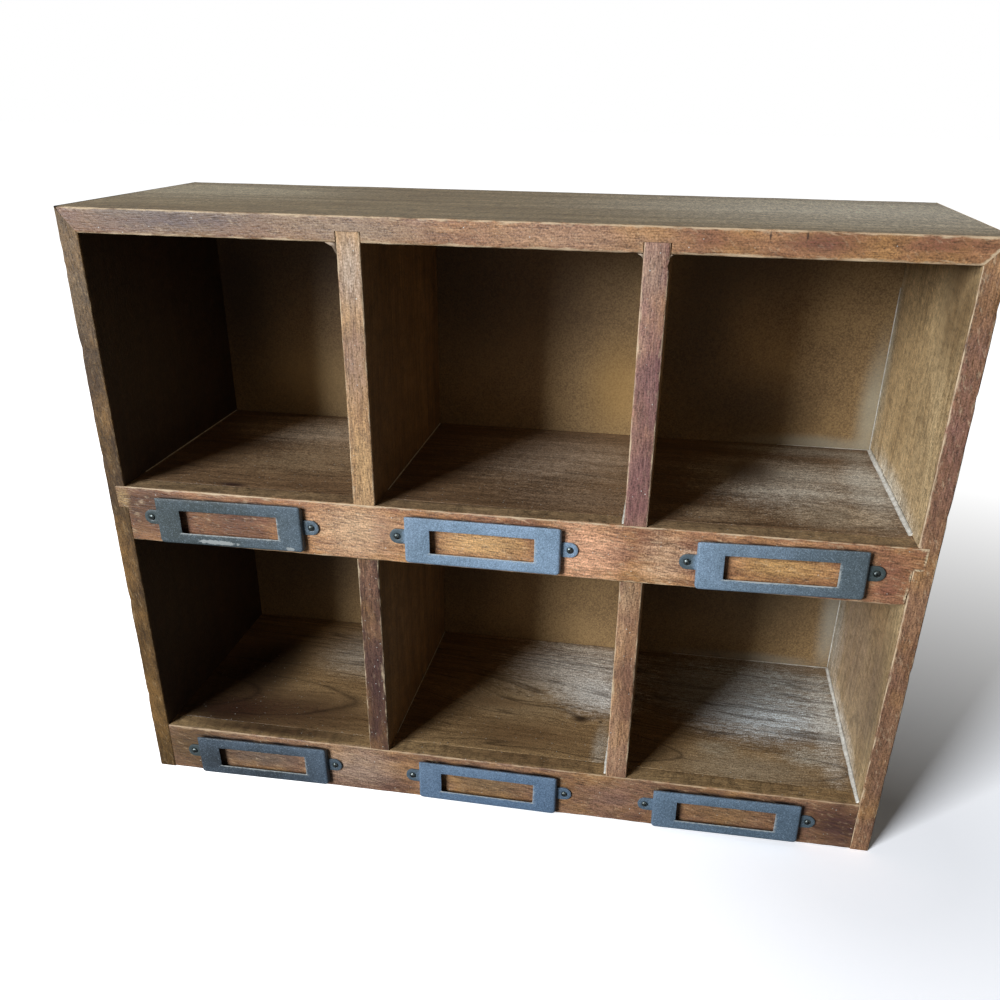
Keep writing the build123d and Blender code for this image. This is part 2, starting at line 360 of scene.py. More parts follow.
@dataclass(frozen=True)
class StainedHardwood:
    """Mango wood, sawn, planed, stained walnut brown and rubbed back until its arrises were pale.

    The eye sees growth lines, fine fibres and short pores along the grain, slanted saw marks,
    blotches where the stain took unevenly, and cream wood along the edges that hands have touched.
    """

    name: str
    grain: Grain
    dark: str = "#5d4030"
    light: str = "#a98060"
    inner_dark: str = "#6b5236"
    inner_light: str = "#a3855a"
    stain: str = "#5d3731"
    stain_share: float = 0.45
    gold: str = "#b98a4c"
    gold_share: float = 0.45
    stain_reach: float = 22.0
    worn: str = "#d8bf9a"
    worn_share: float = 0.85
    pith: tuple[float, float] = (20.0, -90.0)
    ring: float = 6.0
    ring_contrast: float = 0.45
    lines: float = 0.3
    warp: float = 7.0
    fibre_contrast: float = 0.6
    saw: float = 0.25
    saw_lean: float = 60.0
    scuffs: float = 0.35
    specks: float = 0.0
    roughness: float = 0.5
    seed: float = 1.0
    blots: tuple[Blot, ...] = ()
    knots: tuple[Knot, ...] = ()
    front: tuple[float, float] = (-72.5, -71.6)

    def grain_frame(self, tree: Tree, place: Socket) -> tuple[Socket, Socket, Socket]:
        """Work out each point's place along, across and through the bent grain.

        Args:
            tree: The material's tree.
            place: The point's place in millimetres.

        Returns:
            The places along, across and through the grain.
        """
        axes = put(tree, "ShaderNodeSeparateXYZ", place).node.outputs
        along, across, through = (axes[i] for i in self.grain.value)
        slow = put(tree, "ShaderNodeCombineXYZ", along, across, through)
        slow = put(tree, "ShaderNodeVectorMath", slow, (1 / 110, 1 / 42, 1 / 42), operation="MULTIPLY")
        slow = put(tree, "ShaderNodeVectorMath", slow, (self.seed * 3.7, self.seed, 0), operation="ADD")
        sway = put(tree, "ShaderNodeTexNoise", slow, inputs={"Scale": 1.0, "Detail": 2.0})
        sway = put(tree, "ShaderNodeMath", sway, -0.5, operation="ADD")
        bent = put(tree, "ShaderNodeMath", sway, self.warp * 2, across, operation="MULTIPLY_ADD")
        for knot in self.knots:
            a = put(tree, "ShaderNodeMath", along, -knot.along, operation="ADD")
            b = put(tree, "ShaderNodeMath", across, -knot.across, operation="ADD")
            gap = put(tree, "ShaderNodeCombineXYZ", a, b, 0.0)
            gap = put(tree, "ShaderNodeVectorMath", gap, (1 / knot.length, 1 / knot.width, 0), operation="MULTIPLY")
            gap = put(tree, "ShaderNodeVectorMath", gap, operation="LENGTH")
            gap = put(tree, "ShaderNodeMath", gap, 2.0, operation="POWER")
            gap = put(tree, "ShaderNodeMath", gap, -1.0, operation="MULTIPLY")
            push = put(tree, "ShaderNodeMath", gap, operation="EXPONENT")
            bent = put(tree, "ShaderNodeMath", push, knot.lift, bent, operation="MULTIPLY_ADD")
        return along, bent, through

    def material(self) -> bpy.types.Material:
        """Build the wood's material.

        Returns:
            The material.
        """
        material, tree, place = new_material(self.name)
        along, across, through = self.grain_frame(tree, place)
        threads = put(tree, "ShaderNodeCombineXYZ", along, across, through)

        def strands(source: Socket, reach: Point, low: float, high: float, detail: float = 3.0) -> Socket:
            """Draw noise stretched to a reach and spread from 0 to 1 between two levels.

            Args:
                source: The place that the noise is drawn at.
                reach: Its reach along three axes, in millimetres.
                low: The level that becomes 0.
                high: The level that becomes 1.
                detail: The noise's detail.

            Returns:
                The spread noise.
            """
            stretched = put(tree, "ShaderNodeVectorMath", source, tuple(1 / r for r in reach), operation="MULTIPLY")
            drawn = put(tree, "ShaderNodeTexNoise", stretched,
                        inputs={"Scale": 1.0, "Detail": detail, "Roughness": 0.6})
            return put(tree, "ShaderNodeMapRange", drawn, low, high, 0.0, 1.0)

        # Growth lines lie round the pith, and drift along the board
        section = put(tree, "ShaderNodeCombineXYZ", across, through, 0.0)
        radius = put(tree, "ShaderNodeVectorMath", section, (*self.pith, 0.0), operation="DISTANCE")
        radius = put(tree, "ShaderNodeMath", along, 0.03, radius, operation="MULTIPLY_ADD")
        growth = put(tree, "ShaderNodeCombineXYZ", radius, along, self.seed * 9.1)
        rings = strands(growth, (self.ring, 420.0, 1.0), 0.33, 0.66)
        split = put(tree, "ShaderNodeMath", rings, -0.5, operation="ADD")
        split = put(tree, "ShaderNodeMath", split, operation="ABSOLUTE")
        lines = put(tree, "ShaderNodeMapRange", split, 0.0, 0.05, self.lines, 0.0)

        # Fibres a millimetre wide, drawn coarser than the real ones so that they show
        fine = strands(threads, (5.0, 0.75, 0.75), 0.34, 0.66)
        coarse = strands(threads, (36.0, 2.8, 2.8), 0.26, 0.74)
        fibres = put(tree, "ShaderNodeMix", 0.25, fine, coarse)
        pores = strands(threads, (4.0, 0.6, 0.6), 0.6, 0.72, 1.0)
        turned = put(tree, "ShaderNodeVectorRotate", threads, inputs={"Angle": math.radians(self.saw_lean)},
                     rotation_type="Y_AXIS")
        sawn = strands(turned, (1.1, 9.0, 9.0), 0.34, 0.66, 2.0)
        grit = strands(place, (0.9, 0.9, 0.9), 0.32, 0.68, 3.0)

        # The wood's own colour, other inside than on the front, and the stain's blotches over it
        tone = put(tree, "ShaderNodeMix", self.ring_contrast, coarse, rings)
        colour = put(tree, "ShaderNodeMix", tone, linear(self.dark), linear(self.light), data_type="RGBA")
        inner = put(tree, "ShaderNodeMix", tone, linear(self.inner_dark), linear(self.inner_light), data_type="RGBA")
        depth = put(tree, "ShaderNodeSeparateXYZ", place, out=1)
        inside = put(tree, "ShaderNodeMapRange", depth, *self.front, 0.0, 1.0)
        colour = put(tree, "ShaderNodeMix", inside, colour, inner, data_type="RGBA")

        # Patches on the front where the stain is thick, and where it is thin and golden
        outside = put(tree, "ShaderNodeMath", 1.0, inside, operation="SUBTRACT")
        for shift, share, code in ((31.0, self.gold_share, self.gold), (53.0, self.stain_share, self.stain)):
            soak = put(tree, "ShaderNodeVectorMath", threads, (self.seed * shift, self.seed * 17, shift),
                       operation="ADD")
            soak = strands(soak, (self.stain_reach * 1.6, self.stain_reach, self.stain_reach), 0.45, 0.62, 5.0)
            soak = put(tree, "ShaderNodeMath", soak, outside, operation="MULTIPLY")
            soak = put(tree, "ShaderNodeMath", soak, share, operation="MULTIPLY")
            colour = put(tree, "ShaderNodeMix", soak, colour, linear(code), data_type="RGBA")

        # Blots at their own places, broken up by the fibres
        veil = put(tree, "ShaderNodeMix", 0.4, fibres, rings)
        veil = put(tree, "ShaderNodeMix", 0.3, veil, grit)
        colour = lay_blots(tree, place, colour, self.blots, veil)

        # Light scuffs where the stain has rubbed thin
        scuff = put(tree, "ShaderNodeVectorMath", turned, (self.seed * 13, 0, self.seed * 5), operation="ADD")
        scuff = strands(scuff, (1.6, 5.0, 5.0), 0.57, 0.7, 3.0)
        scuff = put(tree, "ShaderNodeMath", scuff, self.scuffs, operation="MULTIPLY")
        scuff = put(tree, "ShaderNodeMath", scuff, outside, operation="MULTIPLY")
        colour = put(tree, "ShaderNodeMix", scuff, colour, linear(self.worn), data_type="RGBA")

        # Fibres, saw marks and grit lighten and darken it all
        shade = put(tree, "ShaderNodeMath", fibres, self.fibre_contrast, 1.0 - self.fibre_contrast / 2,
                    operation="MULTIPLY_ADD")
        shade = put(tree, "ShaderNodeMath", sawn, self.saw, shade, operation="MULTIPLY_ADD")
        shade = put(tree, "ShaderNodeMath", grit, 0.85, shade, operation="MULTIPLY_ADD")
        shade = put(tree, "ShaderNodeMath", shade, -0.42 - self.saw / 2, operation="ADD")
        colour = put(tree, "ShaderNodeVectorMath", colour, inputs={"Scale": shade}, operation="SCALE")
        pitted = put(tree, "ShaderNodeMath", pores, 0.45, operation="MULTIPLY")
        pitted = put(tree, "ShaderNodeMath", pitted, lines, operation="MAXIMUM")
        colour = put(tree, "ShaderNodeMix", pitted, colour, linear("#22150e"), data_type="RGBA")

        # White specks of dust and filler
        if self.specks:
            cells = put(tree, "ShaderNodeTexVoronoi", place, inputs={"Scale": 0.5})
            chosen = put(tree, "ShaderNodeSeparateColor", cells.node.outputs["Color"])
            chosen = put(tree, "ShaderNodeMapRange", chosen, 1.0 - self.specks, 1.0, 0.0, 0.2)
            speck = put(tree, "ShaderNodeMath", chosen, cells, operation="SUBTRACT")
            speck = put(tree, "ShaderNodeMapRange", speck, 0.0, 0.06, 0.0, 0.85)
            colour = put(tree, "ShaderNodeMix", speck, colour, linear("#d2cfc4"), data_type="RGBA")

        # Pale wood on the worn arrises, in a broken line
        wear = put(tree, "ShaderNodeAttribute", attribute_name="wear", out=2)
        chew = strands(threads, (8.0, 1.3, 1.3), 0.3, 0.7, 4.0)
        wear = put(tree, "ShaderNodeMath", chew, 0.7, wear, operation="MULTIPLY_ADD")
        wear = put(tree, "ShaderNodeMapRange", wear, 0.68, 1.1, 0.0, self.worn_share)
        colour = put(tree, "ShaderNodeMix", wear, colour, linear(self.worn), data_type="RGBA")

        # A satin oil finish, rougher where the stain has worn and along the fibres
        dull = put(tree, "ShaderNodeMapRange", fibres, 0.0, 1.0, self.roughness - 0.08, self.roughness + 0.1)
        dull = put(tree, "ShaderNodeMath", wear, 0.15, dull, operation="MULTIPLY_ADD")
        relief = put(tree, "ShaderNodeMath", pores, -0.8, fibres, operation="MULTIPLY_ADD")
        relief = put(tree, "ShaderNodeMath", sawn, self.saw, relief, operation="MULTIPLY_ADD")
        dress(tree, colour, relief, (0.5, 0.25), Roughness=dull)
        return material


@dataclass(frozen=True)
class StainedHardboard:
    """Hardboard, pressed from fibres and wiped with the same stain.

    The eye sees an even olive brown with fine speckles and soft clouds, and no grain.
    """

    name: str = "pressed_hardboard_wiped_with_stain"
    grain: Grain = Grain.ALONG_Z
    seed: float = 12.3
    dark: str = "#705636"
    light: str = "#b49463"
    grit: float = 0.9
    cloud: float = 46.0
    blots: tuple[Blot, ...] = ()

    def material(self) -> bpy.types.Material:
        """Build the hardboard's material.

        Returns:
            The material.
        """
        material, tree, place = new_material(self.name)
        grit = put(tree, "ShaderNodeTexNoise", place,
                   inputs={"Scale": 1 / self.grit, "Detail": 3.0, "Roughness": 0.65})
        cloud = put(tree, "ShaderNodeTexNoise", place, inputs={"Scale": 1 / self.cloud, "Detail": 4.0})
        tone = put(tree, "ShaderNodeMix", 0.35, grit, cloud)
        tone = put(tree, "ShaderNodeMapRange", tone, 0.36, 0.64, 0.0, 1.0)
        colour = put(tree, "ShaderNodeMix", tone, linear(self.dark), linear(self.light), data_type="RGBA")
        colour = lay_blots(tree, place, colour, self.blots, cloud)
        fleck = put(tree, "ShaderNodeTexVoronoi", place, inputs={"Scale": 0.5})
        fleck = put(tree, "ShaderNodeMapRange", fleck, 0.05, 0.16, 0.25, 0.0)
        colour = put(tree, "ShaderNodeMix", fleck, colour, linear("#a58a5c"), data_type="RGBA")
        dress(tree, colour, grit, (0.4, 0.15), Roughness=0.6)
        return material


@dataclass(frozen=True)
class Chip:
    """A knock that has taken the coat off bare metal."""

    place: Point
    reach: Point
    strength: float


@dataclass(frozen=True)
class SlatePowderCoat:
    """Sheet steel with a slate blue powder coat, baked to a fine hammered skin.

    The eye sees a blue grey with close light and dark specks, a soft sheen, and bare pale metal
    where edges have been knocked.
    """

    name: str = "powder_coated_steel_hammered_slate"
    base: str = "#8ea6bc"
    dark: str = "#6f8798"
    fleck: str = "#b9cbdb"
    bare: str = "#b9bdb8"
    aged: str = "#3f4947"
    grit: float = 0.6
    painted_shade_blots: tuple[Blot, ...] = ()
    chips: tuple[Chip, ...] = ()

    def material(self) -> bpy.types.Material:
        """Build the coat's material.

        Returns:
            The material.
        """
        material, tree, place = new_material(self.name)
        grit = put(tree, "ShaderNodeTexNoise", place,
                   inputs={"Scale": 1 / self.grit, "Detail": 2.0, "Roughness": 0.7})
        cloud = put(tree, "ShaderNodeTexNoise", place, inputs={"Scale": 1 / 14.0, "Detail": 3.0})
        tone = put(tree, "ShaderNodeMapRange", cloud, 0.4, 0.65, 0.0, 0.4)
        colour = put(tree, "ShaderNodeMix", tone, linear(self.base), linear(self.dark), data_type="RGBA")
        # Painted shade laid over the coat's colour
        colour = lay_blots(tree, place, colour, self.painted_shade_blots, cloud)
        shade = put(tree, "ShaderNodeMapRange", grit, 0.32, 0.68, 0.55, 1.3)
        colour = put(tree, "ShaderNodeVectorMath", colour, inputs={"Scale": shade}, operation="SCALE")
        light = put(tree, "ShaderNodeMapRange", grit, 0.6, 0.72, 0.0, 0.35)
        colour = put(tree, "ShaderNodeMix", light, colour, linear(self.fleck), data_type="RGBA")
        dull = put(tree, "ShaderNodeAttribute", attribute_name="dull", out=2)
        colour = put(tree, "ShaderNodeMix", dull, colour, linear(self.aged), data_type="RGBA")
        wear = put(tree, "ShaderNodeAttribute", attribute_name="wear", out=2)
        chew = put(tree, "ShaderNodeTexNoise", place, inputs={"Scale": 1 / 2.2, "Detail": 4.0, "Roughness": 0.7})
        wear = put(tree, "ShaderNodeMath", chew, 1.0, wear, operation="MULTIPLY_ADD")
        wear = put(tree, "ShaderNodeMapRange", wear, 0.95, 1.3, 0.0, 0.8)
        for chip in self.chips:
            gap = gap_from(tree, place, chip.place, chip.reach)
            gap = put(tree, "ShaderNodeMath", chew, -1.6, gap, operation="MULTIPLY_ADD")
            flake = put(tree, "ShaderNodeMapRange", gap, 0.05, -0.1, 0.0, chip.strength)
            wear = put(tree, "ShaderNodeMath", wear, flake, operation="MAXIMUM")
        colour = put(tree, "ShaderNodeMix", wear, colour, linear(self.bare), data_type="RGBA")
        dress(tree, colour, grit, (0.35, 0.15), Roughness=0.45)
        return material


@dataclass(frozen=True)
class PinSteel:
    """Drawn steel wire with an upset head, darkened by age or left bright.

    The eye sees a small hard highlight on a mottled head, with rust or tarnish in its hollows.
    """

    name: str
    base: str
    tarnish: str
    roughness: float

    def material(self) -> bpy.types.Material:
        """Build the steel's material.

        Returns:
            The material.
        """
        material, tree, place = new_material(self.name)
        stain = put(tree, "ShaderNodeTexNoise", place, inputs={"Scale": 1 / 0.8, "Detail": 3.0})
        share = put(tree, "ShaderNodeMapRange", stain, 0.42, 0.6, 0.0, 0.9)
        colour = put(tree, "ShaderNodeMix", share, linear(self.base), linear(self.tarnish), data_type="RGBA")
        dress(tree, colour, stain, (0.3, 0.1), Metallic=1.0, Roughness=self.roughness)
        return material


@dataclass(frozen=True)
class DriedGlue:
    """White wood glue, squeezed from the joints and dried with dust in it.

    The eye sees a milky grey line, brighter where it is thick, with dirt along it.
    """

    name: str = "dried_wood_glue_dusty"
    clean: str = "#eeeade"
    dirty: str = "#c9c3b4"

    def material(self) -> bpy.types.Material:
        """Build the glue's material.

        Returns:
            The material.
        """
        material, tree, place = new_material(self.name)
        dirt = put(tree, "ShaderNodeTexNoise", place, inputs={"Scale": 1 / 4.0, "Detail": 4.0, "Roughness": 0.7})
        share = put(tree, "ShaderNodeMapRange", dirt, 0.42, 0.6, 0.0, 1.0)
        colour = put(tree, "ShaderNodeMix", share, linear(self.clean), linear(self.dirty), data_type="RGBA")
        dress(tree, colour, dirt, (0.5, 0.2), Roughness=0.55)
        return material


@dataclass(frozen=True)
class Dent:
    """A knock or a chip that pushes a board's surface in."""

    place: Point
    reach: float
    depth: float


@dataclass(frozen=True)
class Rub:
    """A line along which hands or the plane have taken the stain off."""

    start: Point
    end: Point
    reach: float
    strength: float


@dataclass
class Board:
    """One board, lofted along its grain so that its arrises wear unevenly.

    Attributes:
        node: The CAD node that it stands for, whose box gives its size.
        finish: Its wood.
        arrises: For the corners of its section, named by the signs across and through the grain,
            the radius and the wear.
        start: Where its near end lies along the grain, at its low and high sides.
        end: Where its far end lies, in the same way.
        cuts: Boxes that are taken out of it.
        dents: Knocks and chips.
        rubs: More worn lines than its arrises.
        step: The distance between sections.
        slot: A material slot's name; not used.
        waviness: The height of the plane's unevenness.
        arc_points: The points round each arris.
        margin: The distance from a corner to the first point on a side.
        rung: The usual distance between a side's points.
        plain_radius: The radius of an arris that isn't worn.
    """

    node: str
    finish: "StainedHardwood | StainedHardboard"
    arrises: dict[tuple[int, int], tuple[float, float]] = field(default_factory=dict)
    start: tuple[float, float] | None = None
    end: tuple[float, float] | None = None
    cuts: tuple[tuple[Point, Point], ...] = ()
    dents: tuple[Dent, ...] = ()
    rubs: tuple[Rub, ...] = ()
    step: float = 2.5
    slot: str = "stained_hardwood"
    waviness: float = 0.12
    arc_points: int = 5
    margin: float = 2.6
    rung: float = 13.0
    plain_radius: float = 0.25

    CORNERS = ((-1, -1), (1, -1), (1, 1), (-1, 1))

    def __post_init__(self) -> None:
        """Read the node's box and set square ends where none are given."""
        low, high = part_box(self.node)
        self.low = np.array(low) / MM
        self.high = np.array(high) / MM
        self.along, self.across, self.through = self.finish.grain.value
        self.start = self.start or (self.low[self.along],) * 2
        self.end = self.end or (self.high[self.along],) * 2

    def rungs(self, length: float) -> list[float]:
        """Give the places of the points along one side of the section.

        Args:
            length: The side's length.

        Returns:
            The places, from the side's start.
        """
        margin = self.margin
        if length < 5 * margin:
            return [margin, length / 2, length - margin]
        inner = np.linspace(2.2 * margin, length - 2.2 * margin, max(2, round(length / self.rung)))
        return [margin, *inner, length - margin]

    def ends_at(self, through: np.ndarray) -> tuple[np.ndarray, np.ndarray]:
        """Give the ends' places along the grain, which a mitre moves through the board.

        Args:
            through: Places through the board.

        Returns:
            The near and the far end's place for each.
        """
        share = (through - self.low[self.through]) / (self.high[self.through] - self.low[self.through])
        near = self.start[0] + share * (self.start[1] - self.start[0])
        far = self.end[0] + share * (self.end[1] - self.end[0])
        return near, far

    def corner(self, signs: tuple[int, int]) -> tuple[float, float]:
        """Give a section corner's places across and through the grain."""
        sides = (self.low, self.low, self.high)
        return sides[signs[0] + 1][self.across], sides[signs[1] + 1][self.through]

    def loft(self) -> tuple[np.ndarray, np.ndarray, int, int]:
        """Lay out the sections' points.

        Returns:
            The points, their outward directions, the number of sections and the points in each.
        """
        length = self.high[self.along] - self.low[self.along]
        count = max(3, round(length / self.step) + 1)
        shares = np.linspace(0, 1, count)
        rows: list[tuple[np.ndarray, np.ndarray, np.ndarray, np.ndarray]] = []
        flat = np.ones(count)
        for index, signs in enumerate(self.CORNERS):
            a, b = self.corner(signs)
            base = self.arrises.get(signs, (self.plain_radius, 0.0))[0]
            track = np.column_stack([shares * length, np.full(count, index * 40.0),
                                     np.full(count, self.finish.seed * 11)])
            radius = base * (1 + 0.45 * wander(track, 17, 1) + 0.4 * wander(track, 5, 2))
            for angle in np.radians(180 + 90 * index + np.linspace(0, 90, self.arc_points)):
                turn_a, turn_b = math.cos(angle), math.sin(angle)
                rows.append((a + radius * (turn_a - signs[0]), b + radius * (turn_b - signs[1]),
                             turn_a * flat, turn_b * flat))
            after = self.CORNERS[(index + 1) % 4]
            a2, b2 = self.corner(after)
            side = math.hypot(a2 - a, b2 - b)
            for rung in self.rungs(side):
                rows.append(((a + (a2 - a) * rung / side) * flat, (b + (b2 - b) * rung / side) * flat,
                             (b2 - b) / side * flat, -(a2 - a) / side * flat))
        stack = np.array(rows)
        points = np.zeros((count, len(rows), 3))
        out = np.zeros_like(points)
        points[..., self.across] = stack[:, 0].T
        points[..., self.through] = stack[:, 1].T
        out[..., self.across] = stack[:, 2].T
        out[..., self.through] = stack[:, 3].T
        near, far = self.ends_at(points[..., self.through])
        points[..., self.along] = near + shares[:, None] * (far - near)
        return points.reshape(-1, 3), out.reshape(-1, 3), count, len(rows)

    def mesh(self) -> bpy.types.Mesh:
        """Make the board's mesh, cut its joints and mark its wear.

        Returns:
            The mesh, in metres.
        """
        points, out, count, ring = self.loft()
        seed = self.finish.seed
        push = self.waviness * (wander(points, 34, seed) + 0.45 * wander(points, 8, seed + 3)) - self.waviness
        for dent in self.dents:
            gap = np.linalg.norm(points - np.array(dent.place), axis=1)
            rough = 1 + 0.5 * wander(points, dent.reach * 0.6, seed + 5)
            push -= dent.depth * rough * np.exp(-((gap / dent.reach) ** 2))
        points = points + out * push[:, None]
        faces: list[list[int]] = [list(range(ring))[::-1], [(count - 1) * ring + i for i in range(ring)]]
        for row in range(count - 1):
            for i in range(ring):
                j = (i + 1) % ring
                faces.append([row * ring + i, row * ring + j, (row + 1) * ring + j, (row + 1) * ring + i])
        mesh = bpy.data.meshes.new(self.node)
        mesh.from_pydata((points * MM).tolist(), [], faces)
        mesh = self.cut(outward(mesh))
        self.mark_wear(mesh)
        mesh.shade_smooth()
        mesh.set_sharp_from_angle(angle=math.radians(35))
        return mesh

    def cut(self, mesh: bpy.types.Mesh) -> bpy.types.Mesh:
        """Take the joints' boxes out of a mesh.

        Args:
            mesh: The whole board.

        Returns:
            The board with its joints.
        """
        if not self.cuts:
            return mesh
        blank = in_scene("blank", mesh)
        cutters = [in_scene("cutter", box_mesh(low, high)) for low, high in self.cuts]
        for cutter in cutters:
            joint = blank.modifiers.new("joint", "BOOLEAN")
            joint.object, joint.operation, joint.solver = cutter, "DIFFERENCE", "MANIFOLD"
        made = worked(blank)
        for cutter in cutters:
            bpy.data.objects.remove(cutter)
        made.name = self.node
        return made

    def mark_wear(self, mesh: bpy.types.Mesh) -> None:
        """Store how worn each point is, by its distance from the arrises and rubbed lines.

        Args:
            mesh: The cut board.
        """
        points = np.zeros(len(mesh.vertices) * 3)
        mesh.vertices.foreach_get("co", points)
        points = points.reshape(-1, 3) / MM
        wear = np.zeros(len(points))
        lines = list(self.rubs)
        for signs, (radius, strength) in self.arrises.items():
            a, b = self.corner(signs)
            near, far = self.ends_at(np.array([b]))
            ends = []
            for place in (near[0], far[0]):
                end = [0.0, 0.0, 0.0]
                end[self.along], end[self.across], end[self.through] = place, a, b
                ends.append((end[0], end[1], end[2]))
            lines.append(Rub(ends[0], ends[1], 0.95 * radius, strength))
        for line in lines:
            gap = segment_distance(points, line.start, line.end)
            wear = np.maximum(wear, line.strength * np.exp(-((gap / line.reach) ** 2)))
        attribute = mesh.attributes.new("wear", "FLOAT", "POINT")
        attribute.data.foreach_set("value", wear)

    def build(self) -> bpy.types.Object:
        """Make the board's piece, with its material.

        Returns:
            The piece.
        """
        mesh = self.mesh()
        mesh.materials.clear()
        mesh.materials.append(self.finish.material())
        return finish_piece(mesh, f"worn_{self.node}", [self.node])


def outward(mesh: bpy.types.Mesh) -> bpy.types.Mesh:
    """Turn a closed mesh's faces outwards.

    Args:
        mesh: The mesh.

    Returns:
        The same mesh.
    """
    form = bmesh.new()
    form.from_mesh(mesh)
    bmesh.ops.recalc_face_normals(form, faces=form.faces)
    form.to_mesh(mesh)
    form.free()
    return mesh


@dataclass
class LabelHolder:
    """A label holder pressed from sheet: a windowed plate folded back on three sides, with two ears."""

    node: str
    middle_x: float
    middle_z: float
    tilt: float
    ears: tuple[float, float] = (0.6, 0.6)
    face_y: float = -73.0
    width: float = 82.4
    height: float = 26.2
    plate_drop: float = 0.6
    projection: float = 4.0
    sheet: float = 1.0
    fold: float = 1.5
    return_drop: float = 2.6
    corner: float = 2.2
    window_w: float = 55.0
    window_h: float = 13.0
    window_corner: float = 0.6
    ear_r: float = 4.1
    ear_reach: float = 4.5
    hole_r: float = 0.95
    sink_r: float = 2.05
    wear_reach: float = 0.7
    top_points: int = 20
    side_points: int = 8
    bend_points: int = 6

    def place(self) -> Matrix:
        """Give the matrix, in millimetres, that takes the holder's own frame to the rail."""
        turn = Matrix.Rotation(math.radians(-self.tilt), 4, "Y")
        return Matrix.Translation((self.middle_x, self.face_y, self.middle_z)) @ turn

    def pin_places(self) -> list[Vector]:
        """Give the places of the two pins' heads, in millimetres."""
        reach = self.width / 2 + self.ear_reach
        return [self.place() @ Vector((side * reach, -self.sheet, 0.0)) for side in (-1, 1)]

    def loop(self, half: float, top: float, low: float, radius: float, y: float) -> list[Vector]:
        """Draw one turn round the plate, clockwise from its upper left corner.

        Args:
            half: Half the loop's width.
            top: Its upper edge.
            low: Its lower edge.
            radius: The rounding of its lower corners.
            y: Its depth.

        Returns:
            The loop's points.
        """
        points = [(x, top) for x in np.linspace(-half, half, self.top_points)]
        points += [(half, z) for z in np.linspace(top, low + radius, self.side_points)[1:-1]]
        turns = np.radians(np.linspace(0, 90, self.bend_points))
        points += [(half - radius + radius * math.cos(t), low + radius - radius * math.sin(t)) for t in turns]
        points += [(x, low) for x in np.linspace(half - radius, radius - half, self.top_points)[1:-1]]
        points += [(radius - half - radius * math.sin(t), low + radius - radius * math.cos(t)) for t in turns]
        points += [(-half, z) for z in np.linspace(low + radius, top, self.side_points)[1:-1]]
        return [Vector((x, y, z - self.plate_drop)) for x, z in points]

    def plate_loops(self) -> tuple[list[list[Vector]], int]:
        """Draw the loops from the window's edge over the plate and the folds to the rail.

        Returns:
            The loops, and the number of the first one that has no upper edge.
        """
        half, high, front = self.width / 2, self.height / 2, -self.projection
        window = (self.window_w / 2, self.window_h / 2, -self.window_h / 2)
        loops = []
        for grow, y in ((0.0, front + 0.3), (0.1, front + 0.08), (0.35, front)):
            loops.append(self.loop(window[0] + grow, window[1] + grow, window[2] - grow,
                                   self.window_corner + grow, y))
        plate = self.loop(half - self.fold, high, self.fold - high, self.corner - self.fold, front)
        for share in (0.33, 0.67):
            loops.append([a.lerp(b, share) for a, b in zip(loops[2], plate)])
        loops.append(plate)
        first_open = len(loops)
        for turn in np.radians((22.5, 45, 67.5, 90)):
            inset = self.fold * (1 - math.sin(turn))
            y = front + self.fold * (1 - math.cos(turn))
            top = high - self.return_drop * (1 - math.cos(turn)) / 3
            loops.append(self.loop(half - inset, top, inset - high, self.corner - inset, y))
        loops.append(self.loop(half, high - self.return_drop * 0.7, -high, self.corner, -1.2))
        loops.append(self.loop(half, high - self.return_drop, -high, self.corner, -0.05))
        return loops, first_open

    def plate(self) -> bpy.types.Mesh:
        """Press the plate with its folds, give it the sheet's thickness and soften its cut edges.

        Returns:
            The plate's mesh in millimetres, in the holder's own frame.
        """
        form = bmesh.new()
        loops, first_open = self.plate_loops()
        rows = [[form.verts.new(p) for p in loop] for loop in loops]
        for number in range(1, len(rows)):
            inner, outer = rows[number - 1], rows[number]
            for i in range(len(inner)):
                j = (i + 1) % len(inner)
                on_top = i < self.top_points - 1
                if number < first_open or not on_top:
                    form.faces.new((inner[i], inner[j], outer[j], outer[i]))
        bmesh.ops.delete(form, geom=[v for v in form.verts if not v.link_faces], context="VERTS")
        sheet = in_scene("sheet", formed(form, "plate"))
        thick = sheet.modifiers.new("thickness", "SOLIDIFY")
        thick.thickness, thick.offset = self.sheet, -1.0
        soft = sheet.modifiers.new("softened", "BEVEL")
        soft.width, soft.segments, soft.limit_method = 0.18, 2, "ANGLE"
        soft.angle_limit = math.radians(50)
        return worked(sheet)

    def ear(self, form: bmesh.types.BMesh, side: int) -> None:
        """Add one ear with its countersunk hole to a form.

        Args:
            form: The form that takes the ear.
            side: -1 for the left ear and 1 for the right one.
        """
        middle = side * (self.width / 2 + self.ear_reach)
        root = self.ear_reach + 0.4
        turns = np.linspace(0, 2 * math.pi, 36, endpoint=False)

        def ring(radius: float, y: float) -> list[bmesh.types.BMVert]:
            """Add a round ring."""
            return [form.verts.new((middle + radius * math.cos(t), y, radius * math.sin(t))) for t in turns]

        def rim(inset: float, y: float) -> list[bmesh.types.BMVert]:
            """Add a ring round the ear, straight towards the plate.

            Args:
                inset: How far inside the ear's edge it lies.
                y: Its depth.

            Returns:
                The ring's points.
            """
            made = []
            for t in turns:
                c, s = math.cos(t) * side, math.sin(t)
                far = self.ear_r - inset
                if c < 0:
                    far = min(root / max(-c, 1e-6), (self.ear_r - inset) / max(abs(s), 1e-6))
                made.append(form.verts.new((middle + side * far * c, y, far * s)))
            return made

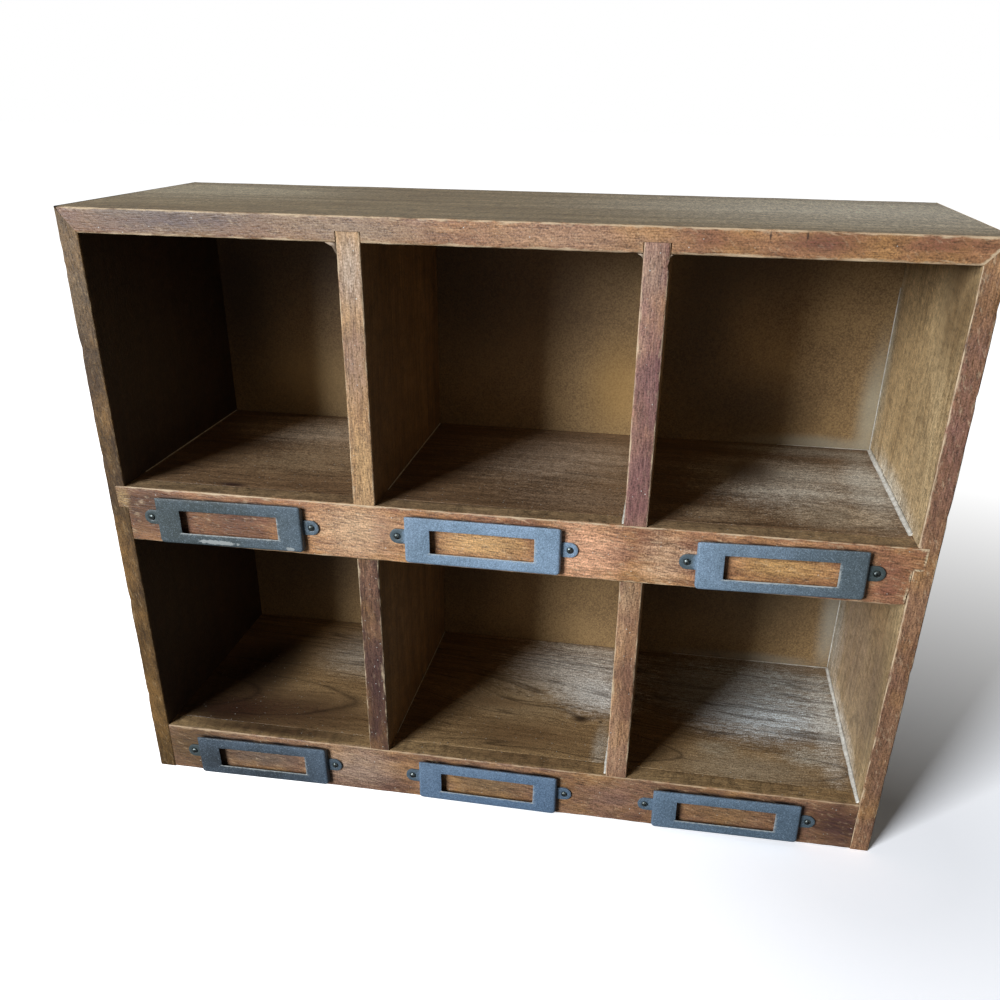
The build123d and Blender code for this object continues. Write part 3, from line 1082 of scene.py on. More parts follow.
        thick = -self.sheet
        rings = [ring(self.hole_r, -0.02), ring(self.hole_r, 0.35 * thick), ring(self.sink_r, thick + 0.06),
                 ring(self.sink_r + 0.15, thick), rim(0.3, thick), rim(0.08, thick + 0.08), rim(0.0, thick + 0.3),
                 rim(0.0, -0.02)]
        made = []
        for a, b in zip(rings, rings[1:] + rings[:1]):
            for i in range(len(turns)):
                j = (i + 1) % len(turns)
                made.append(form.faces.new((a[i], a[j], b[j], b[i])))
        bmesh.ops.recalc_face_normals(form, faces=made)

    def build(self, coat: bpy.types.Material) -> bpy.types.Object:
        """Make the holder's piece.

        Args:
            coat: The powder coat's material.

        Returns:
            The piece.
        """
        form = bmesh.new()
        form.from_mesh(self.plate())
        for side in (-1, 1):
            self.ear(form, side)
        wear, dull = (form.verts.layers.float.new(name) for name in ("wear", "dull"))
        half, front = self.width / 2, -self.projection
        high, base = self.height / 2 - self.plate_drop, -self.height / 2 - self.plate_drop
        left, right = -self.window_w / 2, self.window_w / 2
        top, low = self.window_h / 2 - self.plate_drop, -self.window_h / 2 - self.plate_drop
        ear = half + self.ear_reach
        # Bare metal along knocked edges; the stronger lines on the right and lower window edges and the plate's left
        # edge, which face the lamp, also paint their highlight.
        lines = [
            ((left, front, top), (right, front, top), 0.35),
            ((left, front, low), (right, front, low), 0.8),
            ((left, front, low), (left, front, top), 0.3),
            ((right, front, low), (right, front, top), 0.75),
            ((-half, front, high), (half, front, high), 0.5),
            ((-half, front, base), (half, front, base), 0.55),
            ((-half, front, base), (-half, front, high), 0.5),
            ((half, front, base), (half, front, high), 0.3),
            ((-ear, -1, 0), (-ear - self.ear_r, -1, 0), 0.35),
            ((ear, -1, 0), (ear + self.ear_r, -1, 0), 0.4),
        ]
        form.verts.ensure_lookup_table()
        points = np.array([v.co for v in form.verts])
        worn = np.zeros(len(points))
        for start, end, strength in lines:
            worn = np.maximum(worn, strength * np.exp(-((segment_distance(points, start, end) / self.wear_reach) ** 2)))
        for vert, amount in zip(form.verts, worn):
            vert[wear] = amount
            if abs(vert.co.x) > half + 0.2:
                vert[dull] = self.ears[int(vert.co.x > 0)]
        bmesh.ops.transform(form, matrix=Matrix.Scale(MM, 4) @ self.place(), verts=form.verts)
        mesh = formed(form, self.node)
        mesh.materials.clear()
        mesh.materials.append(coat)
        mesh.shade_smooth()
        mesh.set_sharp_from_angle(angle=math.radians(40))
        return finish_piece(mesh, f"pressed_{self.node}", [self.node])


class PinHead(Enum):
    """The way a pin's head is finished."""

    DOMED = 0.55
    FLAT = 0.18


@dataclass
class PinRow:
    """Pins of one kind, set at their places by Geometry Nodes."""

    name: str
    nodes: list[str]
    slot: str
    places: list[Vector]
    steel: PinSteel
    head: PinHead
    head_r: float
    shank_r: float
    shank_l: float
    inward: float

    def tree(self) -> tuple[Tree, dict[str, str]]:
        """Build the tree that sets a pin at each point.

        Returns:
            The tree, and the identifiers of its inputs by name.
        """
        tree = bpy.data.node_groups.new(f"{self.name}_tree", "GeometryNodeTree")
        sockets = {"Geometry": "NodeSocketGeometry", "Head radius": "NodeSocketFloat", "Crown": "NodeSocketFloat",
                   "Shank radius": "NodeSocketFloat", "Shank length": "NodeSocketFloat",
                   "Steel": "NodeSocketMaterial"}
        keys = {name: tree.interface.new_socket(name, in_out="INPUT", socket_type=kind).identifier
                for name, kind in sockets.items()}
        tree.interface.new_socket("Geometry", in_out="OUTPUT", socket_type="NodeSocketGeometry")
        given = put(tree, "NodeGroupInput").node.outputs
        dome = put(tree, "GeometryNodeMeshUVSphere", 24, 14, given["Head radius"])
        squash = put(tree, "ShaderNodeCombineXYZ", 1.0, given["Crown"], 1.0)
        dome = put(tree, "GeometryNodeTransform", dome, inputs={"Scale": squash})
        shank = put(tree, "GeometryNodeMeshCylinder", inputs={"Vertices": 12, "Radius": given["Shank radius"],
                                                              "Depth": given["Shank length"]})
        shift = put(tree, "ShaderNodeMath", given["Shank length"], 0.5 * self.inward, operation="MULTIPLY")
        shift = put(tree, "ShaderNodeCombineXYZ", 0.0, shift, 0.0)
        shank = put(tree, "GeometryNodeTransform", shank, inputs={"Translation": shift,
                                                                  "Rotation": (math.pi / 2, 0.0, 0.0)})
        pin = put(tree, "GeometryNodeJoinGeometry", dome).node
        tree.links.new(shank, pin.inputs[0])
        smooth = put(tree, "GeometryNodeSetShadeSmooth", pin.outputs[0])
        placed = put(tree, "GeometryNodeInstanceOnPoints", given["Geometry"], inputs={"Instance": smooth})
        real = put(tree, "GeometryNodeRealizeInstances", placed)
        dressed = put(tree, "GeometryNodeSetMaterial", real, inputs={"Material": given["Steel"]})
        end = tree.nodes.new("NodeGroupOutput")
        tree.links.new(dressed, end.inputs[0])
        return tree, keys

    def build(self) -> bpy.types.Object:
        """Make the pins as one plain mesh.

        Returns:
            The piece.
        """
        tree, keys = self.tree()
        points = bpy.data.meshes.new(f"{self.name}_places")
        points.from_pydata([tuple(p * MM) for p in self.places], [], [])
        holder = in_scene("pin_places", points)
        modifier = holder.modifiers.new("pins", "NODES")
        modifier.node_group = tree
        values = {"Head radius": self.head_r * MM, "Crown": self.head.value, "Shank radius": self.shank_r * MM,
                  "Shank length": self.shank_l * MM, "Steel": self.steel.material()}
        for name, value in values.items():
            modifier[keys[name]] = value
        return finish_piece(worked(holder), self.name, self.nodes)


@dataclass(frozen=True)
class GlueLine:
    """Glue squeezed out along one inside corner.

    Attributes:
        start: Where the line starts.
        end: Where it ends.
        sides: The directions, away from the corner, along its two faces.
        size: Its usual width.
        seed: A shift that gives each line its own shape.
    """

    start: Point
    end: Point
    sides: tuple[Point, Point]
    size: float
    seed: float


@dataclass
class GlueLines:
    """Dried glue and dust in the compartments' inside corners."""

    lines: tuple[GlueLine, ...]
    glue: DriedGlue = DriedGlue()
    step: float = 1.2
    name: str = "dried_glue_lines"
    evenness: float = 0.75

    def build(self) -> bpy.types.Object:
        """Make every line as one mesh of thin hollow fillets.

        Returns:
            The piece.
        """
        form = bmesh.new()
        for line in self.lines:
            start, end = np.array(line.start), np.array(line.end)
            count = max(3, round(float(np.linalg.norm(end - start)) / self.step))
            shares = np.linspace(0, 1, count)
            track = start + shares[:, None] * (end - start)
            size = np.clip(0.6 + 0.8 * wander(track, 22, line.seed) + 0.6 * wander(track, 5, line.seed + 2),
                           0.06, 2.0)
            size *= np.clip(6 * np.minimum(shares + 0.02, 1.02 - shares), 0.05, 1)
            size = line.size * (size + self.evenness * (1 - size))
            first, second = (np.array(side) for side in line.sides)
            rows = []
            for place, r in zip(track, size):
                section = (place, place + first * r, place + (first + second) * r * 0.34, place + second * r)
                rows.append([form.verts.new(tuple(p * MM)) for p in section])
            made = [form.faces.new(rows[0]), form.faces.new(rows[-1][::-1])]
            for a, b in zip(rows, rows[1:]):
                made += [form.faces.new((a[i], a[(i + 1) % 4], b[(i + 1) % 4], b[i])) for i in range(4)]
            bmesh.ops.recalc_face_normals(form, faces=made)
        mesh = formed(form, self.name)
        mesh.materials.append(self.glue.material())
        mesh.shade_smooth()
        piece = in_scene(self.name, mesh)
        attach(piece, BODY)
        LOG.info("%s: %d faces", self.name, len(mesh.polygons))
        return piece


@dataclass
class Carcass:
    """The boards, the back panel and the glue in their corners."""

    inner_x: float = 205.5
    outer_x: float = 216.0
    top_z: float = 318.0
    height: float = 330.0
    shelf_z: float = 176.5
    shelf_top_z: float = 188.5
    rail_z: float = 157.0
    floor_z: float = 31.5
    front_y: float = -73.0
    rail_back_y: float = -61.0
    panel_y: float = 73.2
    back_y: float = 77.0
    divider_x: float = 70.5
    divider_t: float = 12.0
    housing: float = 5.0
    tongue: float = 5.5
    lap: float = 5.0
    play: float = 0.15
    over: float = 5.0

    def rabbet(self) -> tuple[Point, Point]:
        """Give the box of the step that takes the back panel."""
        reach = self.inner_x + self.lap
        return (-reach, self.panel_y, -self.over), (reach, self.back_y + self.over, self.top_z + self.lap)

    def top(self) -> Board:
        """Make the top: weathered above with painted sheen towards both ends, rubbed pale along its lower front arris.

        Returns:
            The board.
        """
        housings = []
        for x in (-self.divider_x, self.divider_x):
            half = self.divider_t / 2 + self.play
            housings.append(((x - half, self.front_y - self.over, self.top_z - self.over),
                             (x + half, self.back_y + self.over, self.top_z + self.housing + self.play)))
        front = self.front_y
        # Pale blots towards both ends of the upper face are painted sheen; the blots on the front are stain patches and
        # two dark marks.
        blots = blots_on(
            2, self.height, (190, 20, (210, 110, 3), "#fff0d2", 1.0, 0.4),
            (-180, 30, (120, 80, 3), "#e6d6b4", 0.8, 0.6),
        ) + blots_on(
            1, front, (-160, 326, (110, 3, 18), "#645a50", 0.95, 0.4), (-150, 325, (40, 3, 5), "#4f4650", 0.7, 0.6),
            (-70, 324, (60, 3, 14), "#96826c", 0.85, 0.4), (30, 324, (70, 3, 12), "#b28d70", 0.7, 0.4),
            (95, 325, (22, 3, 6), "#764638", 0.6, 0.6), (140, 325, (24, 3, 6), "#6a3a34", 0.8, 0.6),
            (188, 326, (20, 3, 6), "#733f36", 0.7, 0.6), (117.9, 327.3, (0.7, 3, 3.2), "#2a1a12", 0.95, 0.1),
            (133.2, 327.7, (0.7, 3, 3.0), "#2a1a12", 0.95, 0.1),
        )
        wood = StainedHardwood("stained_mango_planed_top", Grain.ALONG_X, dark="#7d5038", light="#b98a5c",
                               inner_dark="#7d6545", inner_light="#cdb58a", stain="#6d4238", stain_share=0.35,
                               pith=(30.0, 250.0), ring=5.0, saw=0.3, saw_lean=52.0, lines=0.12, scuffs=0.2,
                               specks=0.1, seed=1.3, blots=blots)
        return Board("top_board", wood, {(-1, 1): (1.1, 0.95), (-1, -1): (1.2, 1.0), (1, 1): (1.0, 0.5)},
                     start=(-self.inner_x, -self.outer_x), end=(self.inner_x, self.outer_x),
                     cuts=(*housings, self.rabbet()),
                     dents=(Dent((-216, front, 330), 3.0, 0.8), Dent((216, front, 330), 3.4, 1.0),
                            Dent((-40, front, 330), 4.0, 0.4), Dent((60, front, 318), 5.0, 0.4)),
                     rubs=(Rub((self.inner_x, front, self.top_z), (self.outer_x, front, self.height), 0.7, 1.2),))

    def side(self, sign: int) -> Board:
        """Make one side, mitred at its top and housed for the shelf.

        Args:
            sign: -1 for the left side and 1 for the right one.

        Returns:
            The board.
        """
        inner, outer = sign * self.inner_x, sign * self.outer_x
        reach = sign * (self.inner_x + self.tongue + self.play)
        housing = ((min(reach, inner - sign * self.over), self.front_y - self.over, self.shelf_z - self.play),
                   (max(reach, inner - sign * self.over), self.back_y + self.over, self.shelf_top_z + self.play))
        front = self.front_y
        if sign < 0:
            # Painted shade: the left side's front tones are darker for the light's falloff to the left, and its inside
            # face, turned from the lamp, is painted near black.
            blots = blots_on(
                1, front, (outer, 300, (30, 4, 50), "#776246", 0.6, 0.5),
                (outer, 90, (30, 4, 90), "#553c1a", 0.7, 0.6),
            ) + blots_on(
                0, outer, (22, 165, (4, 92, 330), "#b08a5c", 1.0, 0.4),
            )
            wood = StainedHardwood("stained_mango_planed_left_side", Grain.ALONG_Z, dark="#36240e",
                                   light="#6a4f26", inner_dark="#20150e", inner_light="#3a2a1c", stain="#3b2718",
                                   worn="#a88d66", pith=(40.0, -330.0), ring=4.5, saw=0.4, saw_lean=75.0,
                                   seed=2.1, blots=blots)
            name, end, wear = "left_side", (self.height, self.top_z), 0.5
        else:
            # On the inside face: painted shade towards the front near the top, darker towards the front near the
            # bottom, painted light at the upper back, and pale grey dried glue along the joints and at the lower back.
            blots = blots_on(
                0, inner, (25, 250, (4, 80, 80), "#a98a5e", 0.75, 0.75),
                (-50, 300, (4, 44, 44), "#6b5234", 0.85, 0.6), (-50, 90, (4, 34, 70), "#6f5844", 0.8, 0.7),
                (60, 60, (4, 24, 44), "#dcd8cc", 0.8, 0.8), (10, 90, (4, 90, 80), "#937a68", 0.85, 0.8),
                (-20, 135, (4, 50, 34), "#9a744a", 0.6, 0.7), (0, 189, (4, 80, 14), "#e3ddcb", 0.8, 0.85),
                (0, 32, (4, 80, 14), "#dcd6c9", 0.8, 0.85), (70, 240, (4, 14, 70), "#b3b09c", 0.7, 0.8),
                (70, 90, (4, 14, 70), "#b3b3a6", 0.7, 0.8),
            ) + blots_on(
                1, front, (outer, 250, (30, 3, 60), "#7d5550", 0.6, 0.5),
                (outer, 60, (30, 3, 60), "#7d5d48", 0.6, 0.5),
            )
            wood = StainedHardwood("stained_mango_planed_right_side", Grain.ALONG_Z, dark="#704936",
                                   light="#ae8662", inner_dark="#96764d", inner_light="#dabf90", stain="#60403a",
                                   worn="#d8c09c", pith=(-30.0, 340.0), ring=5.0, saw=0.35, saw_lean=70.0,
                                   fibre_contrast=0.8, seed=3.4, blots=blots)
            name, end, wear = "right_side", (self.top_z, self.height), 0.9
        dents = tuple(Dent((outer, front, z), 2.4, 0.5) for z in (52, 118, 205, 262, 301))
        return Board(name, wood, {(-1, sign): (1.0, 0.6), (-1, -sign): (0.8, wear), (1, sign): (1.0, 0.5)},
                     end=end, cuts=(housing, self.rabbet()), dents=dents)

    def slot_painted_shade(self, z: float, places: tuple[tuple[float, float], ...]) -> tuple[Blot, ...]:
        """Give the painted shade in the open top of each label holder: a dark line on the rail where the slot behind
        the plate lies in shade.

        Args:
            z: The line's height.
            places: Each holder's middle and its slope.

        Returns:
            The blots, a few in a row for each holder.
        """
        return tuple(Blot((x + step, self.front_y, z + step * slope), (17, 3, 2.0), "#120b08", 1.0, 0.05)
                     for x, slope in places for step in (-31.0, -10.5, 10.5, 31.0))

    def shelf_rail(self) -> Board:
        """Make the upper label rail, with a tongue at each end.

        Returns:
            The board.
        """
        front, low, high, pale = self.front_y, self.rail_z - self.over, self.shelf_z - self.play, "#dcc9a4"
        inner, tip = self.inner_x, self.inner_x + self.tongue
        cuts = [((-230.0, front - self.over, low), (-inner, self.rail_back_y + self.over, high))]
        # The right end broke out in steps when it was sawn
        for step, (bottom, top) in zip((-0.5, 0.1, -0.2), ((low, 164.0), (164.0, 170.0), (170.0, high))):
            cuts.append(((inner + step, front - self.over, bottom), (230.0, self.rail_back_y + self.over, top)))
        blots = blots_on(
            1, front, (-196, 176, (44, 4, 28), "#4a301f", 0.95, 0.3), (-208, 182, (6, 4, 12), "#a88a5c", 0.8, 0.4),
            (-146, 172, (36, 4, 26), "#5c3c2a", 0.85, 0.3), (-76, 174, (32, 4, 26), "#d8b289", 0.85, 0.4),
            (-62, 172, (8, 4, 18), "#8a5f4c", 0.5, 0.6), (-7.3, 172, (34, 2, 12), "#d4a86f", 0.95, 0.3),
            (62, 172, (9, 4, 18), "#7e5548", 0.5, 0.6), (46, 172, (28, 4, 26), "#e8b089", 0.95, 0.4),
            (86, 172, (18, 4, 20), "#d0ab88", 0.8, 0.6), (98.7, 173, (7, 4, 7), "#cdb79d", 0.8, 0.8),
            (143.3, 172, (34, 2, 12), "#c0955c", 0.95, 0.3), (197, 172, (13, 4, 20), "#93614c", 0.7, 0.5),
            (tip - 0.4, 183, (1.2, 2, 6.5), pale, 1.0, 0.4), (inner + 2.6, 176.9, (3.6, 2, 0.9), pale, 1.0, 0.4),
            (inner - 0.4, 173, (1.1, 2, 4), pale, 1.0, 0.4), (inner - 0.8, 163, (1.2, 2, 6), pale, 1.0, 0.5),
            (tip - 2, 188, (3.5, 2, 1.4), pale, 0.9, 0.5),
        )
        # Painted shade in the open top of each upper holder
        blots += self.slot_painted_shade(183.60, ((-146.0, 0.012), (-7.4, 0.0), (143.3, 0.021)))
        wood = StainedHardwood("stained_mango_planed_shelf_rail", Grain.ALONG_X, dark="#86543a", light="#c8966a",
                               inner_dark="#735a40", inner_light="#b59870", stain="#6a3a2f", stain_share=0.55,
                               pith=(-20.0, 60.0), ring=4.5, saw=0.5, saw_lean=80.0, specks=0.2, seed=4.2,
                               blots=blots)
        return Board("shelf_front_rail", wood, {(-1, 1): (0.9, 1.0), (-1, -1): (0.8, 0.95)}, cuts=tuple(cuts),
                     dents=(Dent((211, front, 184), 2.2, 0.7), Dent((205, front, 157), 3.0, 0.7),
                            Dent((209, front, 177), 1.5, 0.6)))

    def bottom_rail(self) -> Board:
        """Make the lower label rail.

        Returns:
            The board.
        """
        front = self.front_y
        # The top face is darker at the lower left compartment, painted shade as on that floor, and darker in the
        # middle.
        blots = blots_on(
            1, front, (-190, 16, (46, 4, 30), "#524028", 0.9, 0.4), (-144.4, 15, (34, 2, 12), "#63564a", 0.85, 0.3),
            (-85, 16, (34, 4, 24), "#a28a77", 0.8, 0.4), (-4.4, 15, (34, 2, 12), "#846a49", 0.9, 0.3),
            (66, 14, (28, 4, 22), "#8d6b5c", 0.8, 0.5), (134, 15, (34, 2, 12), "#866645", 0.9, 0.3),
            (198, 14, (28, 4, 26), "#41272a", 1.0, 0.4),
        ) + blots_on(
            2, self.floor_z, (-140, -65, (85, 9, 3), "#3c2616", 0.95, 0.4),
            (10, -65, (70, 9, 3), "#6b5034", 0.7, 0.5),
        )
        # Painted shade in the open top of each lower holder
        blots += self.slot_painted_shade(26.60, ((-144.4, 0.017), (-4.4, -0.007), (134.0, 0.01)))
        wood = StainedHardwood("stained_mango_planed_bottom_rail", Grain.ALONG_X, dark="#684634", light="#ac8462",
                               inner_dark="#775c3c", inner_light="#c0a071", stain="#53302a", stain_share=0.55,
                               worn="#c4a883", pith=(-10.0, -50.0), ring=4.5, saw=0.5, saw_lean=76.0, specks=0.2,
                               seed=5.6, blots=blots)
        return Board("bottom_front_rail", wood, {(-1, 1): (0.9, 0.95), (-1, -1): (0.9, 0.5)})

    def floors(self) -> list[Board]:
        """Make the shelf and the bottom, with their dust, dried glue, painted reflection and painted shade.

        Returns:
            The two boards.
        """
        z = self.shelf_top_z
        # Pale blots on the shelf are dust and dried glue, and in part painted reflection of the window on its satin
        # finish; the pale one at the upper left compartment's back is painted light.
        dust_sheen_and_shade = blots_on(
            2, z, (15, 20, (80, 70, 6), "#bda890", 0.85, 0.7), (150, 5, (70, 60, 6), "#e2dac8", 0.95, 0.8),
            (194, 10, (16, 80, 6), "#dedacd", 0.9, 0.75), (165, 62, (60, 14, 6), "#b9b4a6", 0.8, 0.7),
            (-140, 40, (64, 38, 6), "#dcc8ac", 0.95, 0.7), (-115, 5, (45, 40, 6), "#b89c7c", 0.7, 0.7),
            (-120, -10, (70, 40, 6), "#a08868", 0.7, 0.7), (40, -40, (60, 30, 6), "#b39a80", 0.7, 0.7),
            (110, -46, (40, 18, 6), "#c0a684", 0.85, 0.7), (172, -40, (44, 24, 6), "#d2c0a4", 0.85, 0.75),
            (130, 22, (22, 26, 6), "#4a3626", 0.8, 0.6), (-150, -58, (12, 3.5, 6), "#2c1a1e", 0.95, 0.4),
        )
        shelf = StainedHardwood("stained_mango_planed_shelf", Grain.ALONG_X, inner_dark="#5c4632",
                                inner_light="#9a7a58", pith=(-40.0, 120.0), ring_contrast=0.3, lines=0.35,
                                warp=8.0, saw=0.0, scuffs=0.1, specks=0.6, roughness=0.42, seed=6.3, blots=dust_sheen_and_shade)
        z = self.floor_z
        # Pale and bluish blots on the bottom are dust and dried glue, and in part painted reflection of the window; the
        # dark ones at the lower left compartment's left and front are painted shade, and the small dark ones at the
        # knots are the wood's own.
        dust_sheen_and_shade = blots_on(
            2, z, (155, 40, (90, 56, 6), "#ccd6d6", 0.95, 0.75), (160, 2, (66, 36, 6), "#e2ecee", 1.0, 0.8),
            (118, 22, (46, 40, 6), "#a4a6a2", 0.85, 0.65), (196, 0, (13, 85, 6), "#e0dfd6", 0.9, 0.8),
            (52, 12, (38, 34, 6), "#f2f5f0", 1.0, 0.7), (59, -46, (7, 30, 6), "#cfc9b8", 0.85, 0.7),
            (35, 42, (64, 52, 6), "#f2f0e6", 1.0, 0.75), (5, 0, (60, 44, 6), "#a08c6c", 0.6, 0.8),
            (-108, 32, (46, 42, 6), "#b3aa9a", 0.9, 0.6), (-185, -20, (50, 70, 6), "#2b1a10", 0.9, 0.4),
            (-178, -52, (45, 26, 6), "#1d1009", 0.95, 0.3), (-140, -46, (85, 36, 6), "#40261a", 0.95, 0.45),
            (-168, 10, (34, 60, 6), "#24160e", 0.85, 0.3), (10, -42, (50, 20, 6), "#6b4d30", 0.7, 0.6),
            (182, -32, (20, 14, 6), "#d8d4c4", 0.9, 0.9), (128, -34, (16, 12, 6), "#b0a48c", 0.7, 0.9),
            (150, -52, (60, 22, 6), "#bdae94", 0.55, 0.7), (44.5, -19, (8, 5.5, 6), "#24160d", 1.0, 0.3),
            (-8, -10, (26, 9, 6), "#6b4c2c", 0.6, 0.8), (57, -20, (2, 2, 6), "#1d130e", 0.9, 0.3),
        )
        knots = (Knot(44.5, -19.0, 14.0, 8.0, 8.0), Knot(-6.0, -10.0, 46.0, 19.0, 12.0),
                 Knot(150.0, -10.0, 120.0, 60.0, 22.0))
        bottom = StainedHardwood("stained_mango_planed_bottom", Grain.ALONG_X, inner_dark="#6d5436",
                                 inner_light="#b8976a", pith=(-30.0, -90.0), ring=6.5, lines=0.6, saw=0.0,
                                 scuffs=0.1, specks=0.35, roughness=0.42, seed=7.7, blots=dust_sheen_and_shade, knots=knots)
        return [Board("shelf_board", shelf, step=4.0), Board("bottom_board", bottom, step=4.0)]

    def divider(self, row: str, sign: int) -> Board:
        """Make one divider.

        Args:
            row: upper or lower.
            sign: -1 for the left divider and 1 for the right one.

        Returns:
            The board.
        """
        side = "left" if sign < 0 else "right"
        name = f"{row}_{side}_divider"
        x, front = sign * self.divider_x, self.front_y
        tints = {
            "upper_left_divider": ("#936f4c", "#d8af7e", "#86604c", 8.1, (
                (306, 24, "#bba997", 0.8, 0.6), (262, 30, "#8d7269", 0.7, 0.6), (214, 30, "#c39c68", 0.6, 0.6))),
            "upper_right_divider": ("#82584c", "#bd957c", "#6b444a", 9.2, (
                (310, 16, "#a98c74", 0.7, 0.6), (200, 22, "#80544e", 0.6, 0.6))),
            "lower_left_divider": ("#412a23", "#785744", "#362022", 10.4, (
                (145, 18, "#8c664d", 0.7, 0.6), (62, 40, "#3a2122", 0.8, 0.5))),
            "lower_right_divider": ("#7e5844", "#c69e7a", "#69453a", 11.5, ((150, 14, "#a98a68", 0.7, 0.6),)),
        }
        dark, light, stain, seed, marks = tints[name]
        blots = tuple(Blot((x, front, z), (10, 2, reach), *rest) for z, reach, *rest in marks)
        wood = StainedHardwood(f"stained_mango_planed_{name}", Grain.ALONG_Z, dark=dark, light=light,
                               inner_dark="#654a2f", inner_light="#a5845a", stain=stain, stain_share=0.6,
                               gold_share=0.3, worn="#d6bf9b", pith=(-40.0, x + 40.0), ring=4.5, saw=0.35,
                               saw_lean=84.0, scuffs=0.12, specks=0.7 if name == "lower_left_divider" else 0.35,
                               seed=seed, blots=blots)
        cuts: tuple[tuple[Point, Point], ...] = ()
        if row == "lower":
            cuts = (((x - 20, front - self.over, self.rail_z - self.play),
                     (x + 20, self.rail_back_y + self.play, 200.0)),)
        dents: tuple[Dent, ...] = ()
        if name == "upper_right_divider":
            dents = (Dent((76.5, front, 313), 2.2, 1.1),)
        return Board(name, wood, {(-1, -1): (0.9, 0.8), (-1, 1): (0.9, 0.8)}, cuts=cuts, dents=dents)

    def panel(self) -> Board:
        """Make the back panel, with painted shade at each compartment's left and top and painted light where the lamp
        reaches.

        Returns:
            The panel.
        """
        y = self.panel_y
        # Dark blots are painted shade at each compartment's left and top, and the golden ones painted light where the
        # lamp reaches; the pale grey ones in the right-hand corners are dried glue. The paler back face is raw
        # hardboard's tone and partly painted light, as the lamp doesn't reach it.
        blots = blots_on(
            1, y, (-195, 270, (46, 6, 90), "#2a1c0f", 0.9, 0.2), (-150, 212, (50, 6, 44), "#c8a871", 0.6, 0.2),
            (-95, 280, (30, 6, 60), "#6b5231", 0.6, 0.2), (-50, 285, (60, 6, 80), "#3f2e1a", 0.8, 0.2),
            (50, 220, (30, 6, 50), "#a8823f", 0.5, 0.2), (5, 275, (60, 6, 70), "#5a4020", 0.5, 0.2),
            (130, 210, (60, 6, 34), "#4b3820", 0.7, 0.2), (130, 305, (70, 6, 50), "#47341c", 0.8, 0.2),
            (-165, 110, (95, 6, 95), "#2a1c10", 0.85, 0.2), (-150, 295, (75, 6, 60), "#33230f", 0.75, 0.2),
            (95, 260, (35, 6, 80), "#3f2e1a", 0.7, 0.2), (-50, 100, (40, 6, 70), "#3f2e1a", 0.7, 0.2),
            (95, 100, (45, 6, 70), "#3f2e1a", 0.7, 0.2), (155, 105, (70, 6, 75), "#463a28", 0.75, 0.2),
            (202, 215, (12, 6, 60), "#b3b09c", 0.7, 0.4), (170, 190, (60, 6, 8), "#a8a492", 0.7, 0.5),
            (202, 70, (12, 6, 60), "#b3b3a6", 0.7, 0.4), (150, 33, (70, 6, 8), "#a5a294", 0.75, 0.5),
        ) + blots_on(
            1, self.back_y, (0, 165, (520, 2.5, 420), "#d0a870", 1.0, 0.1),
        )
        return Board("back_panel", StainedHardboard(blots=blots), slot="stained_hardboard", step=6.0)

    def glue(self) -> GlueLines:
        """Give the glue lines that show in the inside corners.

        Returns:
            The lines.
        """
        right, up, left, fore = (1.0, 0.0, 0.0), (0.0, 0.0, 1.0), (-1.0, 0.0, 0.0), (0.0, -1.0, 0.0)
        wall, back = self.inner_x, self.panel_y
        face = self.divider_x - self.divider_t / 2
        high, low = self.shelf_top_z, self.floor_z
        return GlueLines((
            GlueLine((wall, back - 1, high), (wall, -58, high), (left, up), 2.1, 1.0),
            GlueLine((wall, back, high), (wall, back, 285), (left, fore), 0.5, 2.0),
            GlueLine((wall, back, high), (150, back, high), (fore, up), 0.3, 3.0),
            GlueLine((wall, back - 1, low), (wall, -71, low), (left, up), 2.0, 4.0),
            GlueLine((wall, back, low), (wall, back, 150), (left, fore), 0.6, 5.0),
            GlueLine((wall, back, low), (100, back, low), (fore, up), 0.4, 6.0),
            GlueLine((face, -5, low), (face, -71, low), (left, up), 1.6, 7.0),
            GlueLine((face, -25, high), (face, -71, high), (left, up), 1.3, 8.0),
            GlueLine((-face, back - 1, high), (-face, -50, high), (right, up), 0.5, 9.0),
            GlueLine((-wall, back - 1, high), (-wall, -50, high), (right, up), 0.5, 10.0),
            GlueLine((-face, back - 1, low), (-face, -55, low), (right, up), 0.4, 11.0),
        ))

    def filler(self) -> GlueLines:
        """Give the stained filler that rounds the corners beside the upper dividers' tops.

        Returns:
            The fillets.
        """
        right, left, down = (1.0, 0.0, 0.0), (-1.0, 0.0, 0.0), (0.0, 0.0, -1.0)
        z, near, far = self.top_z, self.front_y + 0.4, -40.0
        face = self.divider_x + self.divider_t / 2
        inner = self.divider_x - self.divider_t / 2
        paste = DriedGlue("stained_wood_filler_wiped_by_finger", "#a8947d", "#7d6a56")
        return GlueLines((
            GlueLine((-face, near, z), (-face, far, z), (left, down), 6.2, 21.0),
            GlueLine((inner, near, z), (inner, far, z), (left, down), 3.0, 22.0),
            GlueLine((face, near, z), (face, far, z), (right, down), 1.6, 23.0),
        ), paste, name="stained_filler_fillets", evenness=0.8)

    def build(self) -> None:
        """Make every board, the panel, the glue and the filler."""
        boards = [self.top(), self.side(-1), self.side(1), self.shelf_rail(), self.bottom_rail(), *self.floors()]
        boards += [self.divider(row, sign) for row in ("upper", "lower") for sign in (-1, 1)]
        for board in boards:
            board.build()
        self.panel().build()
        self.glue().build()
        self.filler().build()


